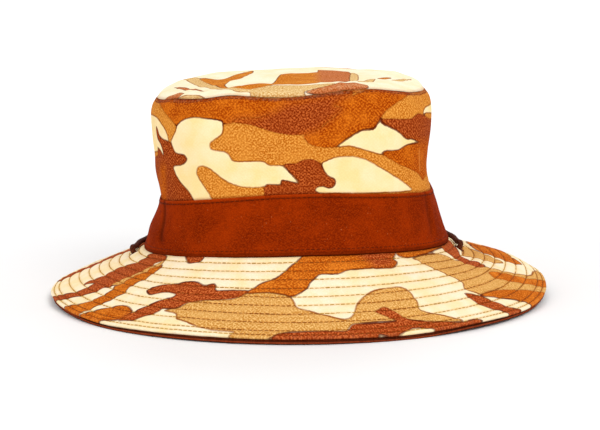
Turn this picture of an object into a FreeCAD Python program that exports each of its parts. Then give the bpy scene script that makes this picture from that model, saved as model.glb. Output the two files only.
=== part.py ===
import FreeCAD, Part
import math
import os

import Sketcher

# Boonie hat: a soft cloth crown, a stitched three-layer brim, a cloth hat band, a sweatband and
# a chin cord with a cord lock.
# Frame: millimetres, +Z up, origin at the centre of the head opening on the mean crown-to-brim
# seam plane. The hat's front faces -Y; "left" is -X and "right" is +X, as seen from the front.
# The brim's edge stands on the plane z = rest_z.

os.makedirs("parts", exist_ok=True)
doc = FreeCAD.newDocument("boonie_hat")
V = FreeCAD.Vector
PI = math.pi

# ---------------------------------------------------------------- driving dimensions
# alias, value, meaning
SIZES = [
    # brim
    ("brim_radius", 147.5, "outer radius of the brim, measured flat on a table"),
    ("rest_z", -36.0, "height of the plane the brim edge stands on"),
    ("brim_rise", 1.0, "how far the brim bows up between seam and edge"),
    ("cloth_thick", 0.8, "twill of crown and brim"),
    ("layer_gap", 0.18, "room left between two layers of cloth"),
    ("stiffener_thick", 1.05, "interlining between the brim cloths"),
    ("row_first", 6.2, "first brim stitch row, from the seam"),
    ("row_pitch", 6.85, "spacing of the brim stitch rows"),
    ("row_count", 9, "number of brim stitch rows, not counting the edge row"),
    ("brim_slant", 66.9, "brim width along the cloth"),
    ("edge_row", 64.4, "edge stitch row, from the seam"),
    ("thread_radius", 0.3, "sewing thread as sewn"),
    ("lip_wide", 1.2, "turned-up lip of the under cloth at the brim edge"),
    # crown
    ("seam_half_wide", 89.7, "half width of the crown cloth at the brim seam"),
    ("seam_half_deep", 94.0, "half depth of the crown cloth at the brim seam"),
    ("saddle", 3.5, "how far the seam rises at front and back and dips at the sides"),
    ("crown_high", 88.0, "mean height of the tip seam"),
    ("tip_dome", 7.2, "how far the tip domes above its seam"),
    ("panel_gap", 0.12, "gap between the two crown panels at a side seam"),
    # hat band, sweatband
    ("band_thick", 0.9, "hat band cloth, folded edges"),
    ("band_gap", 0.32, "hat band's clearance over the crown"),
    ("sweat_thick", 1.1, "sweatband"),
    ("sweat_gap", 0.42, "sweatband's clearance inside the crown"),
    # chin cord and cord lock
    ("cord_radius", 1.6, "chin cord"),
    ("strand_x", 1.72, "half spacing of the two strands in the lock"),
    ("strand_y", 72.4, "how far back the strands run inside the crown"),
    ("hole_radius", 1.9, "cord hole in the brim"),
    ("hole_angle", -4.6, "cord hole's angle from the side, negative in front, degrees"),
    ("hole_row", 9.6, "cord hole, from the seam"),
    ("lock_z", 30.5, "height of the cord lock's centre at rest"),
    ("barrel_radius", 7.2, "cord lock barrel"),
    ("barrel_left", 13.0, "barrel's closed end, from the cord passage"),
    ("barrel_right", 8.0, "barrel's open end, from the cord passage"),
    ("barrel_bore", 4.85, "barrel's blind bore, radius"),
    ("barrel_wall", 2.0, "barrel's end wall"),
    ("slot_half", 3.75, "half length of the cord passage"),
    ("slot_round", 1.95, "half width of the cord passage"),
    ("plunger_radius", 4.75, "plunger"),
    ("plunger_left", 5.2, "plunger's inner end, from the cord passage"),
    ("plunger_right", 12.6, "plunger's button face, from the cord passage"),
    ("press_travel", 3.0, "how far the button presses in"),
    ("spring_radius", 3.3, "plunger spring, mean radius"),
    ("spring_wire", 0.4, "plunger spring, wire radius"),
    ("spring_pitch", 1.35, "plunger spring, pitch"),
    ("knot_wide", 4.7, "end knot, half width"),
    ("knot_high", 3.5, "end knot, half height"),
    ("knot_z", 83.2, "end knot's centre height"),
    ("ring_radius", 2.27, "buttonhole stitching, mean radius"),
    ("ring_thread", 0.32, "buttonhole stitching, thread bundle radius"),
    ("pinch_edge", "=strand_x + cord_radius + 0.22", "left end of the plunger's passage"),
]
sheet = doc.addObject("Spreadsheet::Sheet", "Sheet")
for row, (alias, value, meaning) in enumerate(SIZES, 1):
    sheet.set("A%d" % row, alias)
    sheet.set("B%d" % row, str(value))
    sheet.set("C%d" % row, meaning)
    sheet.setAlias("B%d" % row, alias)
doc.recompute()


def size(alias):
    return float(sheet.get(alias))


CLOTH, GAP = size("cloth_thick"), size("layer_gap")
SEAM_WIDE, SEAM_DEEP = size("seam_half_wide"), size("seam_half_deep")
HIGH, SADDLE = size("crown_high"), size("saddle")
BRIM_RADIUS, BRIM_RISE = size("brim_radius"), size("brim_rise")
BRIM_SLANT = size("brim_slant")
BRIM_FLAT = BRIM_RADIUS - SEAM_WIDE  # brim width seen from above, at the sides

BRIM_SLOPE = math.radians(33)
UPRIGHT = 1 / math.cos(BRIM_SLOPE)  # vertical over true thickness of a sloping layer
BRIM_THICK = 2 * CLOTH + size("stiffener_thick") + 2 * GAP
STACK = BRIM_THICK * UPRIGHT
EDGE_TOP = size("rest_z") + STACK + 0.05

THREAD_WIDE = 2.2 * size("thread_radius")
THREAD_HIGH = 1.5 * size("thread_radius")

# ---------------------------------------------------------------- the hat's draped shape
SEAM_SQUARENESS = 2.05  # exponent of the seam's oval; 2 is an ellipse
# Crown wall, outside of the cloth, from the brim seam up to the tip seam: height share, half
# width, half depth, squareness of the plan outline, and the share of the saddle that is left.
# The wall flares to the oval seam and is squarer above it.
WALL = [
    (-0.030, SEAM_WIDE + 0.3, SEAM_DEEP + 0.3, SEAM_SQUARENESS, 1.00),
    (0.003, SEAM_WIDE, SEAM_DEEP, SEAM_SQUARENESS, 1.00),
    (0.059, SEAM_WIDE - 2.3, SEAM_DEEP - 2.8, 2.15, 0.97),
    (0.111, SEAM_WIDE - 4.7, SEAM_DEEP - 5.4, 2.30, 0.94),
    (0.189, SEAM_WIDE - 7.6, SEAM_DEEP - 8.4, 2.50, 0.90),
    (0.289, SEAM_WIDE - 8.8, SEAM_DEEP - 10.2, 2.70, 0.85),
    (0.370, SEAM_WIDE - 9.2, SEAM_DEEP - 10.8, 2.80, 0.80),
    (0.455, SEAM_WIDE - 9.8, SEAM_DEEP - 11.2, 2.85, 0.74),
    (0.600, SEAM_WIDE - 8.8, SEAM_DEEP - 10.8, 2.85, 0.65),
    (0.755, SEAM_WIDE - 6.8, SEAM_DEEP - 9.8, 2.80, 0.56),
    (0.877, SEAM_WIDE - 5.9, SEAM_DEEP - 9.4, 2.70, 0.50),
    (0.957, SEAM_WIDE - 7.1, SEAM_DEEP - 10.6, 2.60, 0.45),
    (1.000, SEAM_WIDE - 10.1, SEAM_DEEP - 13.6, 2.50, 0.42),
]


def wall_value(share, column):
    """Smooth (cubic Hermite) reading of one column of WALL."""
    last = len(WALL) - 1
    k = 0
    while k < last - 1 and share > WALL[k + 1][0]:
        k += 1

    def slope(i):
        low, high = WALL[max(i - 1, 0)], WALL[min(i + 1, last)]
        return (high[column] - low[column]) / (high[0] - low[0])

    step = WALL[k + 1][0] - WALL[k][0]
    f = (share - WALL[k][0]) / step
    return (
        (2 * f**3 - 3 * f**2 + 1) * WALL[k][column]
        + (f**3 - 2 * f**2 + f) * slope(k) * step
        + (-2 * f**3 + 3 * f**2) * WALL[k + 1][column]
        + (f**3 - f**2) * slope(k + 1) * step
    )


def oval(half_wide, half_deep, squareness, phi):
    """Radius of a superellipse at the angle phi."""
    across = abs(math.cos(phi)) / half_wide
    along = abs(math.sin(phi)) / half_deep
    return (across**squareness + along**squareness) ** (-1.0 / squareness)


def wall(phi, share, out):
    """Point on the crown wall at a share of its height, moved outward by out."""
    half_wide, half_deep = wall_value(share, 1) + out, wall_value(share, 2) + out
    r = oval(half_wide, half_deep, wall_value(share, 3), phi)
    z = share * HIGH - SADDLE * wall_value(share, 4) * math.cos(2 * phi)
    return V(r * math.cos(phi), r * math.sin(phi), z)


def wall_normal(phi, share):
    around = wall(phi + 1e-3, share, 0) - wall(phi - 1e-3, share, 0)
    upward = wall(phi, share + 1e-3, 0) - wall(phi, share - 1e-3, 0)
    normal = around.cross(upward)
    normal.normalize()
    return normal


def brim(phi, w, down=0.0):
    """Point on the brim's top, w from 0 at the seam to 1 at the edge, moved vertically down."""
    seam_r = oval(SEAM_WIDE - CLOTH, SEAM_DEEP - CLOTH, SEAM_SQUARENESS, phi)
    r = seam_r + (BRIM_RADIUS - seam_r) * w
    seam_z = -SADDLE * math.cos(2 * phi)
    z = seam_z + (EDGE_TOP - seam_z) * w + BRIM_RISE * math.sin(PI * w)
    return V(r * math.cos(phi), r * math.sin(phi), z - down)


def brim_normal(phi, w):
    around = brim(phi + 1e-3, w) - brim(phi - 1e-3, w)
    outward = brim(phi, w + 1e-3) - brim(phi, w - 1e-3)
    normal = outward.cross(around)
    if normal.z < 0:
        normal = normal * -1
    normal.normalize()
    return normal


# ---------------------------------------------------------------- solids of draped cloth
def spaced(start, step, count):
    return [start + step * k for k in range(count)]


def eased(start, end, steps):
    """Even steps, with two more close to each end, where a fitted surface is least exact."""
    step = (end - start) / steps
    return (
        [start, start + 0.15 * step, start + 0.45 * step]
        + [start + step * k for k in range(1, steps)]
        + [end - 0.45 * step, end - 0.15 * step, end]
    )


TURN = eased(0.0, 2 * PI, 72)


def surface(point_at, us, vs):
    """A smooth surface through point_at(u, v) on a grid."""
    fitted = Part.BSplineSurface()
    fitted.interpolate([[point_at(u, v) for v in vs] for u in us])
    return fitted


def v_edges(fitted):
    """The surface's edges at its first and last v."""
    return [fitted.vIso(v).toShape() for v in fitted.bounds()[2:]]


def u_edges(fitted):
    """The surface's edges at its first and last u."""
    return [fitted.uIso(u).toShape() for u in fitted.bounds()[:2]]


def closed_curve(point_at):
    curve = Part.BSplineCurve()
    curve.interpolate([point_at(phi) for phi in TURN])
    return curve.toShape()


def solid_from(faces):
    shell = Part.Shell(faces)
    shell.sewShape()
    if shell.ShapeType != "Shell" or not shell.isClosed():
        raise RuntimeError("faces do not close: " + shell.ShapeType)
    solid = Part.Solid(shell)
    if solid.Volume < 0:
        solid.reverse()
    return solid


def cloth(outer, inner, vs, angles=None):
    """Cloth between the surfaces outer(phi, v) and inner(phi, v): a full ring, or a panel with
    four edges if its angles are given."""
    over = surface(outer, angles or TURN, vs)
    under = surface(inner, angles or TURN, vs)
    edge_pairs = list(zip(v_edges(over), v_edges(under)))
    if angles:
        edge_pairs += zip(u_edges(over), u_edges(under))
    return solid_from(
        [over.toShape(), under.toShape()] + [Part.makeRuledSurface(a, b) for a, b in edge_pairs]
    )


def wall_cloth(out, inside, shares, angles=None):
    """Cloth that follows the crown wall, between two offsets from it."""
    return cloth(lambda p, v: wall(p, v, out), lambda p, v: wall(p, v, inside), shares, angles)


def thread_row(at, normal, side, spread, lift):
    """A closed row of sewing thread, as a flat-topped strip: at(phi, offset) is a point of the
    cloth, side is +1 or -1 along its normal, lift is the strip's clearance."""
    top = lift + THREAD_HIGH - 0.06
    return cloth(
        lambda p, v: at(p, (v - 0.5) * 0.7 * spread) + normal(p) * (side * top),
        lambda p, v: at(p, (v - 0.5) * spread) + normal(p) * (side * lift),
        [0.0, 1.0],
    )


def wall_row(share, out, side):
    """A thread row round the crown."""
    return thread_row(
        lambda p, offset: wall(p, share + offset, out),
        lambda p: wall_normal(p, share),
        side,
        spread=THREAD_WIDE / HIGH,
        lift=0.2,
    )


made = []


def add_piece(name, shape):
    """A draped cloth, thread or cord piece, whose surface no sketch feature makes."""
    piece = doc.addObject("Part::Feature", name)
    piece.Label = name
    piece.Shape = shape
    piece.Placement = FreeCAD.Placement()
    made.append(piece)
    return piece


# ---------------------------------------------------------------- brim
ALONG = [0, 0.06, 0.15, 0.27, 0.4, 0.53, 0.66, 0.79, 0.9, 1.0]
# Vertical depths below the brim's top.
UPPER_LOW = CLOTH * UPRIGHT
STIFF_TOP = UPPER_LOW + GAP
STIFF_LOW = STIFF_TOP + size("stiffener_thick") * UPRIGHT
LOWER_TOP = STIFF_LOW + GAP
LIP_TOP = STIFF_TOP + 0.2
LIP_SHARE = size("lip_wide") / BRIM_FLAT
# A row goes square through the sloping cloths, so it comes out nearer the crown underneath.
ROW_SHIFT = BRIM_THICK * math.sin(BRIM_SLOPE) / BRIM_FLAT


def mirrored(side, angle):
    """An angle on the right half (side +1), or its mirror image on the left (side -1)."""
    return angle if side > 0 else PI - angle


def hole_frame(side):
    """Angle, point and normal of a cord hole."""
    phi = mirrored(side, math.radians(size("hole_angle")))
    w = size("hole_row") / BRIM_SLANT
    return phi, brim(phi, w), brim_normal(phi, w)


def drilled(shape):
    """The shape with both cord holes cut square to the brim cloth."""
    for side in (1, -1):
        _, centre, normal = hole_frame(side)
        drill = Part.makeCylinder(size("hole_radius"), 12, centre - normal * 8, normal)
        shape = shape.cut(drill)
    return shape


def brim_layer(start, span, top, low):
    return cloth(
        lambda p, v: brim(p, start + v * span, top),
        lambda p, v: brim(p, start + v * span, low),
        ALONG,
    )


def brim_bottom(phi, w):
    """Point on the brim's underside, deeper close to the edge so the flat foot can be cut."""
    f = min(max((w - 0.93) / 0.07, 0), 1)
    return brim(phi, w, STACK + 0.65 * f * f * (3 - 2 * f))


def brim_lower_cloth():
    """The under cloth, with its turned-up lip at the edge and a flat foot at rest_z."""
    w_lip = 1 - LIP_SHARE
    top = surface(lambda p, v: brim(p, v * w_lip, LOWER_TOP), TURN, ALONG)
    bottom = surface(brim_bottom, TURN, ALONG[:-1] + [0.95, 0.975, 1.0])
    top_seam, top_edge = v_edges(top)
    bottom_seam, bottom_edge = v_edges(bottom)
    lip_in = closed_curve(lambda p: brim(p, w_lip, LIP_TOP))
    lip_out = closed_curve(lambda p: brim(p, 1.0, LIP_TOP))
    solid = solid_from(
        [
            top.toShape(),
            bottom.toShape(),
            Part.makeRuledSurface(top_seam, bottom_seam),
            Part.makeRuledSurface(top_edge, lip_in),
            Part.makeRuledSurface(lip_in, lip_out),
            Part.makeRuledSurface(lip_out, bottom_edge),
        ]
    )
    wide, deep = 2 * BRIM_RADIUS + 60, 20
    corner = V(-wide / 2, -wide / 2, size("rest_z") - deep)
    return solid.cut(Part.makeBox(wide, wide, deep, corner))


def brim_row(at, w, side):
    """A thread row round the brim on the surface at(phi, w)."""
    return thread_row(
        lambda p, offset: at(p, w + offset),
        lambda p: brim_normal(p, w),
        side,
        spread=THREAD_WIDE / BRIM_SLANT,
        lift=0.12,
    )


add_piece("brim_upper_cloth", drilled(brim_layer(0, 0.998, 0.0, UPPER_LOW)))
add_piece("brim_interlining", drilled(brim_layer(0.01, 0.975 - LIP_SHARE, STIFF_TOP, STIFF_LOW)))
add_piece("brim_lower_cloth", drilled(brim_lower_cloth()))

stitch_rows = spaced(size("row_first"), size("row_pitch"), int(size("row_count")))
row_shares = [distance / BRIM_SLANT for distance in stitch_rows + [size("edge_row")]]
needle = [brim_row(brim, w, 1) for w in row_shares]
bobbin = [brim_row(brim_bottom, w - ROW_SHIFT, -1) for w in row_shares]
add_piece("brim_needle_thread", Part.makeCompound(needle))
add_piece("brim_bobbin_thread", Part.makeCompound(bobbin))

# ---------------------------------------------------------------- crown
CROWN_SHARES = [0.003, 0.015] + spaced(0.03, 0.02, 46) + [0.944, 0.958, 0.972, 0.986, 1.0]
HALF_GAP = size("panel_gap") / 2 / SEAM_WIDE  # as an angle
TAPE_OUT, TAPE_IN = -(CLOTH + 0.4), -(CLOTH + 0.85)
TAPE_HALF = 0.075  # half width of a side seam tape, as an angle
SIDES = (("right", 0.0), ("left", PI))
# Shares of the way from the tip's centre to its seam.
TIP_SHARES = [0.06, 0.2, 0.35, 0.5, 0.65, 0.78, 0.88, 0.95, 1.0]
TIP_FLAT = 0.1  # the tip is level inside this share, so that a plane face closes its centre


def tip(phi, rho, down):
    """Point on the crown tip, rho from 0 at the centre to 1 at the seam."""
    seam = wall(phi, 1.0, 0.0)
    base = HIGH + 0.12 + CLOTH
    if rho < TIP_FLAT:
        z = base + size("tip_dome")
    else:
        z = base + (seam.z - HIGH) * rho**2 + size("tip_dome") * (1 - rho**4)
    return V(seam.x * rho, seam.y * rho, z - down)


def crown_tip():
    even_turn = [2 * PI * k / 48 for k in range(49)]
    top = surface(lambda p, rho: tip(p, rho, 0.0), even_turn, TIP_SHARES)
    bottom = surface(lambda p, rho: tip(p, rho, CLOTH), even_turn, TIP_SHARES)
    top_centre, top_seam = v_edges(top)
    bottom_centre, bottom_seam = v_edges(bottom)
    return solid_from(
        [
            top.toShape(),
            bottom.toShape(),
            Part.Face(Part.Wire([top_centre])),
            Part.Face(Part.Wire([bottom_centre])),
            Part.makeRuledSurface(top_seam, bottom_seam),
        ]
    )


def side_seam_stitching(centre):
    """Two upright thread lines, one on each side of a side seam."""
    half = THREAD_WIDE / 2 / SEAM_WIDE
    lift = 0.16
    lines = []
    for line in (centre - 0.042, centre + 0.042):
        angles = [line - half, line, line + half]
        lines.append(wall_cloth(lift + THREAD_HIGH, lift, spaced(0.42, 0.02, 27), angles))
    return Part.makeCompound(lines)


for name, start, end in (
    ("crown_front_panel", -PI + HALF_GAP, -HALF_GAP),
    ("crown_back_panel", HALF_GAP, PI - HALF_GAP),
):
    add_piece(name, wall_cloth(0.0, -CLOTH, CROWN_SHARES, eased(start, end, 36)))
add_piece("crown_tip", crown_tip())
tip_tape_shares = [0.87, 0.89, 0.91, 0.93, 0.944, 0.958, 0.978]
add_piece("crown_tip_seam_tape", wall_cloth(TAPE_OUT, TAPE_IN, tip_tape_shares))
for side_name, centre in SIDES:
    angles = eased(centre - TAPE_HALF, centre + TAPE_HALF, 6)
    tape = wall_cloth(TAPE_OUT, TAPE_IN, spaced(0.40, 0.0231, 21), angles)
    add_piece(side_name + "_side_seam_tape", tape)
add_piece("crown_tip_stitching", wall_row(0.972, 0.0, 1))
for side_name, centre in SIDES:
    add_piece(side_name + "_side_seam_stitching", side_seam_stitching(centre))

# ---------------------------------------------------------------- hat band
BAND_IN = size("band_gap")
BAND_OUT = BAND_IN + size("band_thick")
band_shares = [0.012] + spaced(0.03, 0.02, 18) + [0.385]
add_piece("hat_band", wall_cloth(BAND_OUT, BAND_IN, band_shares))
add_piece("hat_band_upper_stitching", wall_row(0.365, BAND_OUT, 1))
add_piece("hat_band_lower_stitching", wall_row(0.042, BAND_OUT, 1))

# ---------------------------------------------------------------- sweatband and label
SWEAT_OUT = -(CLOTH + size("sweat_gap"))
SWEAT_IN = SWEAT_OUT - size("sweat_thick")
sweat_shares = [-0.012, 0.003, 0.015] + spaced(0.03, 0.02, 17) + [0.36]
add_piece("sweatband", wall_cloth(SWEAT_OUT, SWEAT_IN, sweat_shares))
add_piece("sweatband_stitching", wall_row(0.012, SWEAT_IN, -1))
label_angles = eased(math.radians(116), math.radians(136), 8)
label = wall_cloth(SWEAT_IN - 0.12, SWEAT_IN - 0.52, spaced(0.13, 0.02, 10), label_angles)
add_piece("size_label", label)


# ---------------------------------------------------------------- round cords and wires
def arc_middle(start, direction, end):
    """Middle of the arc that leaves start along direction and reaches end, or None if the arc
    is nearly straight."""
    chord = end - start
    if direction.cross(chord).Length / chord.Length < 0.002:
        return None
    inward = direction.cross(chord)
    inward.normalize()
    inward = inward.cross(direction)
    inward.normalize()
    r = chord.dot(chord) / (2 * chord.dot(inward))
    centre = start + inward * r
    middle = (start - centre) + (end - centre)
    middle.normalize()
    return centre + middle * abs(r)


def smooth_arcs(points, step):
    """The edges of a smooth line through points, as circular arcs and straight lines tangent
    to each other. The line is sampled at about the given step, 1 mm at most."""
    turn_max, run_max = 0.6, 28.0  # a pair of arcs ends past this turn (radians) or length
    curve = Part.BSplineCurve()
    curve.interpolate(points)
    total = curve.length()
    count = int(total / min(1.0, step))
    at = (
        [curve.FirstParameter]
        + [curve.parameterAtDistance(total * k / count) for k in range(1, count)]
        + [curve.LastParameter]
    )
    tangents = [V(curve.tangent(u)[0]) for u in at]
    keep, turned, run = [0], 0.0, 0.0
    for k in range(1, count + 1):
        turned += tangents[k].getAngle(tangents[k - 1])
        run += total / count
        if turned > turn_max or run > run_max:
            keep.append(k)
            turned, run = 0.0, 0.0
    if keep[-1] != count:
        if count - keep[-1] < 4:
            keep.pop()
        keep.append(count)

    # Each stretch is a pair of arcs that meet tangentially at the point joint.
    edges = []
    for a, b in zip(keep, keep[1:]):
        start, end = curve.value(at[a]), curve.value(at[b])
        leave, arrive = tangents[a], tangents[b]
        chord, both = end - start, leave + arrive
        spread = 2 * (1 - leave.dot(arrive))
        if spread < 1e-9:
            reach = chord.dot(chord) / (2 * chord.dot(both))
        else:
            root = math.sqrt(chord.dot(both) ** 2 + spread * chord.dot(chord))
            reach = (-chord.dot(both) + root) / spread
        joint = (start + end + (leave - arrive) * reach) * 0.5
        for p, via, q in (
            (start, arc_middle(start, leave, joint), joint),
            (joint, arc_middle(end, arrive * -1, joint), end),
        ):
            edges.append(Part.makeLine(p, q) if via is None else Part.Arc(p, via, q).toShape())
    return edges


def cord_tube(points, radius):
    """A round cord: a circle swept along arcs and straight lines, whose faces are pieces of
    torus and cylinder."""
    edges = smooth_arcs(points, radius)
    first = edges[0]
    u = first.FirstParameter
    section = Part.Wire([Part.Circle(first.valueAt(u), first.tangentAt(u), radius).toShape()])
    faces = [Part.Face(section)]
    for edge in edges:
        u = edge.FirstParameter
        if isinstance(edge.Curve, Part.Circle):
            centre, axis = edge.Curve.Center, edge.Curve.Axis
            turn_by = math.degrees(edge.LastParameter - u)
            if (axis.cross(edge.valueAt(u) - centre)).dot(edge.tangentAt(u)) < 0:
                axis = axis * -1
            faces += section.revolve(centre, axis, turn_by).Faces
            section = section.copy()
            section.rotate(centre, axis, turn_by)
        else:
            move = edge.valueAt(edge.LastParameter) - edge.valueAt(u)
            faces += section.extrude(move).Faces
            section = section.copy()
            section.translate(move)
    faces.append(Part.Face(section))
    return solid_from(faces)


# ---------------------------------------------------------------- chin cord
CORD_RADIUS = size("cord_radius")
STRAND_X, STRAND_Y = size("strand_x"), size("strand_y")
CORD_TOP = size("knot_z") - size("knot_high") - 0.12
CORD_BRIM = 58.0  # brim width that the cord's distances from the seam are shares of
CORD_ROW, CORD_CLEAR = 4.3, 0.55  # the cord's distance from the seam and clearance at the back
# Centre line of one half of the cord, from the back to the lock.
# On the brim: degrees back from the side, distance from the seam, clearance over the cloth.
ON_BRIM = [
    (78, CORD_ROW, CORD_CLEAR), (66, CORD_ROW, CORD_CLEAR), (54, CORD_ROW, CORD_CLEAR),
    (42, CORD_ROW, CORD_CLEAR), (30, CORD_ROW, 0.6), (20, CORD_ROW, 0.8), (12, CORD_ROW, 1.5),
    (5, 5.4, 2.2),
]
# Down through the hole: backward, along the hole's axis, toward the hat's centre.
THROUGH_HOLE = [
    (5.2, 3.6, 1.4), (2.5, 3.7, 0.5), (0.75, 2.6, 0.1), (0.1, 0.9, 0.0),
    (0.0, -0.9, 0.0), (0.0, -2.6, 0.0), (0.0, -4.0, 0.0),
]
# Under the brim and into the crown: toward the hat's centre, backward, up; from the hole.
UNDER_BRIM = [
    (3.5, 0.0, -5.2), (5.8, 0.5, -5.8), (9.3, 2.1, -5.4),
    (12.4, 5.6, -3.7), (14.7, 11.4, -0.7), (16.0, 18.0, 3.0),
]
# Inside the crown: degrees back from the side, height share, offset from the wall.
IN_CROWN = [(24, 0.030, -5.4), (34, 0.046, -5.0), (44, 0.060, -5.0), (58, 0.075, -5.2)]
# Turning up at the back of the crown: x on the right half, y, z.
TURN_UP = [
    (25.0, 79.0, 8.6), (12.5, 78.6, 9.8), (5.6, 76.0, 11.4),
    (STRAND_X + 0.75, STRAND_Y + 0.95, 15.2), (STRAND_X, STRAND_Y, 20.0),
]
# Heights of the points of a straight strand.
RISE = [21.5, 23.0, 25.0, 28.0, 32.0, 37.0, 43.0, 50.0, 59.0, 68.0, CORD_TOP]


def over_brim(phi, distance, clear):
    w = distance / CORD_BRIM
    return brim(phi, w) + brim_normal(phi, w) * (CORD_RADIUS + clear)


def cord_half(side):
    """The cord's centre line on one side, from the back of the brim to the top of the strand."""
    points = []
    for degrees, distance, clear in ON_BRIM:
        points.append(over_brim(mirrored(side, math.radians(degrees)), distance, clear))
    phi, hole, normal = hole_frame(side)
    backward = V(-math.sin(phi), math.cos(phi), 0) * side
    inward = V(-math.cos(phi), -math.sin(phi), 0)
    for back, up, move_in in THROUGH_HOLE:
        points.append(hole + normal * up + backward * back + inward * move_in)
    for move_in, back, up in UNDER_BRIM:
        points.append(hole + inward * move_in + backward * back + V(0, 0, up))
    for degrees, share, offset in IN_CROWN:
        at_wall = wall(mirrored(side, math.radians(degrees)), share, offset)
        points.append(V(at_wall.x, at_wall.y, share * HIGH + 0.6))
    points += [V(side * x, y, z) for x, y, z in TURN_UP]
    points += [V(side * STRAND_X, STRAND_Y, z) for z in RISE]
    return points


back_point = over_brim(PI / 2, CORD_ROW, CORD_CLEAR)
cord_line = cord_half(-1)[::-1] + [back_point] + cord_half(1)
add_piece("chin_cord", cord_tube(cord_line, CORD_RADIUS))


# ---------------------------------------------------------------- knot, buttonhole stitching
def cord_end_knot():
    knot = doc.addObject("Part::Ellipsoid", "cord_end_knot")
    knot.Label = "cord_end_knot"
    knot.Radius3 = 3.6
    knot.setExpression("Radius1", "Sheet.knot_high")
    knot.setExpression("Radius2", "Sheet.knot_wide")
    knot.setExpression("Placement.Base.y", "Sheet.strand_y")
    knot.setExpression("Placement.Base.z", "Sheet.knot_z")
    made.append(knot)


def cord_hole_stitching(name, side):
    """A ring of thread over the brim and one under it, round a cord hole."""
    _, centre, normal = hole_frame(side)
    turned = FreeCAD.Rotation(V(0, 0, 1), normal)
    thread = size("ring_thread")
    rings = []
    for level, offset in (("upper", thread + 0.05), ("lower", -(BRIM_THICK + thread + 0.28))):
        ring = doc.addObject("Part::Torus", name + "_" + level)
        ring.setExpression("Radius1", "Sheet.ring_radius")
        ring.setExpression("Radius2", "Sheet.ring_thread")
        ring.Placement = FreeCAD.Placement(centre + normal * offset, turned)
        rings.append(ring)
    group = doc.addObject("Part::Compound", name)
    group.Label = name
    group.Links = rings
    made.append(group)


cord_end_knot()
cord_hole_stitching("right_cord_hole_stitching", 1)
cord_hole_stitching("left_cord_hole_stitching", -1)


# ---------------------------------------------------------------- cord lock: shared features
def new_body(name):
    body = doc.addObject("PartDesign::Body", name)
    body.Label = name
    return body


def new_sketch(body, name, role):
    sketch = body.newObject("Sketcher::SketchObject", name)
    plane = [f for f in body.Origin.OriginFeatures if f.Role == role][0]
    sketch.AttachmentSupport = [(plane, "")]
    sketch.MapMode = "FlatFace"
    return sketch


def bound(sketch, constraint, expression):
    """Adds a constraint whose value follows an expression."""
    index = sketch.addConstraint(constraint)
    sketch.setExpression("Constraints[%d]" % index, expression)


def circle_sketch(body, name, radius_alias):
    """A circle round the X axis."""
    sketch = new_sketch(body, name, "YZ_Plane")
    radius = size(radius_alias)
    sketch.addGeometry(Part.Circle(V(0, 0, 0), V(0, 0, 1), radius), False)
    sketch.addConstraint(Sketcher.Constraint("Coincident", 0, 3, -1, 1))
    bound(sketch, Sketcher.Constraint("Radius", 0, radius), "Sheet." + radius_alias)
    return sketch


def slot_sketch(body, name, left_aliases, right_aliases):
    """A round-ended slot along X in the XY plane, through which both strands pass. The aliases
    on each side add up to the slot's reach from the centre."""
    sketch = new_sketch(body, name, "XY_Plane")
    r = size("slot_round")
    left = r - sum(size(alias) for alias in left_aliases)
    right = sum(size(alias) for alias in right_aliases) - r

    def end_arc(x, start):
        circle = Part.Circle(V(x, 0, 0), V(0, 0, 1), r)
        return Part.ArcOfCircle(circle, start, start + PI)

    def centre_expression(aliases):
        return " + ".join("Sheet." + alias for alias in aliases) + " - Sheet.slot_round"

    sketch.addGeometry(Part.LineSegment(V(left, r, 0), V(right, r, 0)), False)
    sketch.addGeometry(end_arc(right, -PI / 2), False)
    sketch.addGeometry(Part.LineSegment(V(right, -r, 0), V(left, -r, 0)), False)
    sketch.addGeometry(end_arc(left, PI / 2), False)
    for ends in ((0, 2, 1, 2), (1, 1, 2, 1), (2, 2, 3, 2), (3, 1, 0, 1)):
        sketch.addConstraint(Sketcher.Constraint("Tangent", *ends))
    sketch.addConstraint(Sketcher.Constraint("Horizontal", 0))
    sketch.addConstraint(Sketcher.Constraint("PointOnObject", 1, 3, -1))
    bound(sketch, Sketcher.Constraint("Radius", 1, r), "Sheet.slot_round")
    right_place = Sketcher.Constraint("DistanceX", -1, 1, 1, 3, right)
    bound(sketch, right_place, centre_expression(right_aliases))
    left_place = Sketcher.Constraint("DistanceX", 3, 3, -1, 1, -left)
    bound(sketch, left_place, centre_expression(left_aliases))
    return sketch


def two_way_pad(body, name, profile, right_alias, left_alias):
    """A pad from the YZ plane, to the right and to the left."""
    doc.recompute()
    pad = body.newObject("PartDesign::Pad", name)
    pad.Profile = profile
    # Versions differ in the property that makes a pad two-sided.
    if "TwoLengths" in pad.getEnumerationsOfProperty("Type"):
        pad.Type = "TwoLengths"
    else:
        pad.SideType = "Two sides"
    pad.setExpression("Length", "Sheet." + right_alias)
    pad.setExpression("Length2", "Sheet." + left_alias)
    body.Tip = pad
    doc.recompute()
    return pad


def round_circles(body, name, pad, radius, x=None):
    """Fillets the pad's circular edges, or only those at the given x."""
    edges = [
        "Edge%d" % number
        for number, edge in enumerate(pad.Shape.Edges, 1)
        if isinstance(edge.Curve, Part.Circle)
        and (x is None or abs(edge.Curve.Center.x - x) < 0.01)
    ]
    fillet = body.newObject("PartDesign::Fillet", name)
    fillet.Base = (pad, edges)
    fillet.Radius = radius
    body.Tip = fillet
    doc.recompute()


def cut_passage(body, name, profile):
    """Cuts the cord passage right through, up and down."""
    doc.recompute()
    before = body.Tip.Shape.Volume
    cut = body.newObject("PartDesign::Pocket", name)
    cut.Profile = profile
    cut.Length = 40
    cut.Midplane = True
    body.Tip = cut
    doc.recompute()
    if not cut.Shape.Volume < before - 1:
        raise RuntimeError(name + " cut nothing")


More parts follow.
